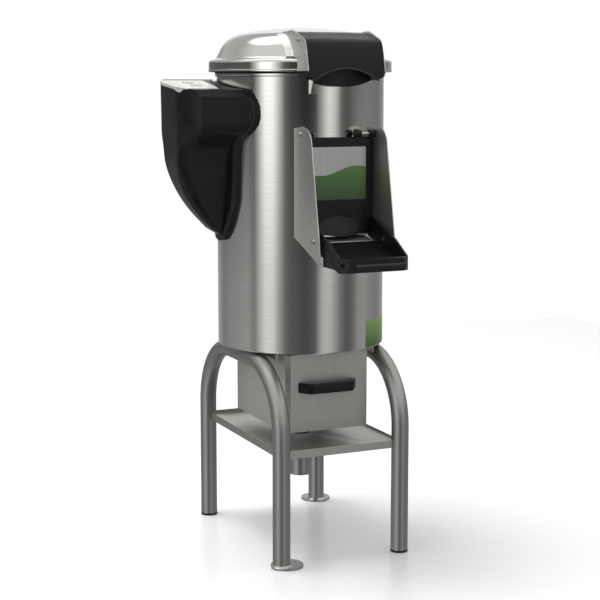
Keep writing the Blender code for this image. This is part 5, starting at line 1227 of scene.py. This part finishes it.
def screw_mesh(head_r, head_tall, socket_r, socket_deep):
    """A domed head with a hexagon socket, upright on the origin, in metres."""
    dome = arc((0, -head_r * 1.1 + head_tall), head_r * 1.1, 90, 90 - 50, 5)
    profile = [(0, -0.3), (head_r, -0.3), (head_r, 0.25)] + [
        (min(head_r, r * head_r / dome[-1][0]), max(0.25, z)) for r, z in reversed(dome)]
    head = turned(profile, 24, place=Matrix.Scale(MM, 4))
    return solved(head, cylinder(socket_r, head_tall - socket_deep, head_tall + 2, 6, place=Matrix.Scale(MM, 4)))


def screw_tree_for(name, mesh):
    """The tree that puts a screw mesh on points, turned along their direction attribute."""
    tree, start, sockets = new_tree(name, Points="geometry", Size="float", Finish="material")
    head = bpy.data.objects.new(f"{name}_pattern", mesh)
    bpy.context.scene.collection.objects.link(head)
    head.hide_render = True
    source = add(tree, "GeometryNodeObjectInfo")
    source.inputs["Object"].default_value = head
    aim = add(tree, "GeometryNodeInputNamedAttribute", {"data_type": "FLOAT_VECTOR", "Name": "aim"})
    turn_to = add(tree, "FunctionNodeAlignRotationToVector", {"axis": "Z"}, {"Vector": aim.outputs["Attribute"]})
    placed = add(tree, "GeometryNodeInstanceOnPoints", links={
        "Points": start["Points"], "Instance": source.outputs["Geometry"], "Rotation": turn_to.outputs[0],
        "Scale": start["Size"]})
    end_tree(tree, placed.outputs[0], start["Finish"])
    return tree, sockets


button_head = screw_mesh(head_r=5.4, head_tall=2.9, socket_r=2.2, socket_deep=1.7)
screw_tree, screw_sockets = screw_tree_for("button_head_screws", button_head)


def screws(name, body, places, material=turned_steel, size=1.0, node=None):
    """Screws at places, each a point and a direction in machine millimetres."""
    seeds = bpy.data.meshes.new("seeds")
    seeds.from_pydata([to_world @ Vector(point) for point, _ in places], [], [])
    aims = seeds.attributes.new("aim", "FLOAT_VECTOR", "POINT")
    for item, (_, aim) in zip(aims.data, places):
        item.vector = aim
    values = {"Size": size, "Finish": material}
    return settle(name, grown(screw_tree, screw_sockets, values, seeds), body, material, node)


screws("lid_handle_button_screws", "lid", [((side * 96.3, -202, 1203), (side, 0, 0)) for side in (-1, 1)],
       node=["lid_handle_screw_left", "lid_handle_screw_right"])
screws("cheek_button_screws", "frame", [
    ((side * 98.4, y, z), (side, 0, 0)) for side in (-1, 1) for y, z in ((ROD_Y, ROD_Z), (PIN_Y, PIN_Z))], size=0.9)
# Bolts through the drum's flange into the tubes' straight run under it, with their heads inside the drum
screws("stand_bolts", "frame", [((side * 164, y, 486.1), (0, 0, 1)) for side in (-1, 1) for y in (-62, 62)], size=1.2)
screws("bracket_screws", "frame", [((x, math.sqrt(205.9 ** 2 - x * x), 1084), (x / 206, 1, 0)) for x in (-36, 0, 36)],
       size=1.1)

# %% [markdown]
# The collar's edge carries two raised beads that run parallel to it, bent round the drum. Their line is the
# collar's outline: shares of its half width, at shares of the housing's height over its tip.

# %% Beads on the collar
BEAD_R, COLLAR_HALF, SLOPED_ABOVE = 212.2, 126, 1000
COLLAR_EDGE = [(COLLAR_HALF * half, TIP + TALL * level) for half, level in (
    (0.815, 0.972), (0.886, 0.95), (0.949, 0.917), (0.992, 0.875), (1, 0.833), (1, 0.803), (0.971, 0.758),
    (0.902, 0.719), (0.811, 0.689), (0.728, 0.669), (0.661, 0.65), (0.63, 0.567), (0.614, 0.406), (0.589, 0.278),
    (0.512, 0.186), (0.425, 0.114), (0.303, 0.053))]
for side, word in ((-1, "near"), (1, "far")):
    for number, inset in enumerate((2.6, 9.0)):
        line = offset([tuple(p) for p in smooth_line(COLLAR_EDGE, 3)], -inset)
        # High up the far bead rises with the sloping top, because the table is the near side's
        rise = 2 * SLOPE if side > 0 else 0
        points = [(-math.sqrt(BEAD_R ** 2 - a * a), side * a, z + rise * a * (z > SLOPED_ABOVE)) for a, z in line]
        # The beads are painted paler: a painted highlight along the collar's edge
        settle(f"collar_bead_{word}_{number}", tube(points, 1.9, painted_highlight_abs, 12), "frame", painted_highlight_abs)
print("collar beads", 4)

# %% [markdown]
# A printed green field lies near the drum's lower edge, bent round it. Like the door's label it is bare.

# %% Body label
BODY_LABEL_LOW, BODY_LABEL_HIGH = 487.0, 551.0
inside, outside = DRUM_R - 0.3, DRUM_R + 0.25
section = ((inside, BODY_LABEL_LOW), (outside, BODY_LABEL_LOW), (outside, BODY_LABEL_HIGH), (inside, BODY_LABEL_HIGH))
field = loft([[(radius * math.cos(a), radius * math.sin(a), z) for radius, z in section]
              for a in even(24, math.radians(-63.5), math.radians(-22))])
settle("body_label_green", field, "frame", green_body_film)
print("label", BODY_LABEL_HIGH - BODY_LABEL_LOW, "mm tall")

# %% Remove the screw patterns
for spare in [o for o in bpy.data.objects if o.name.endswith("_pattern")]:
    bpy.data.objects.remove(spare)
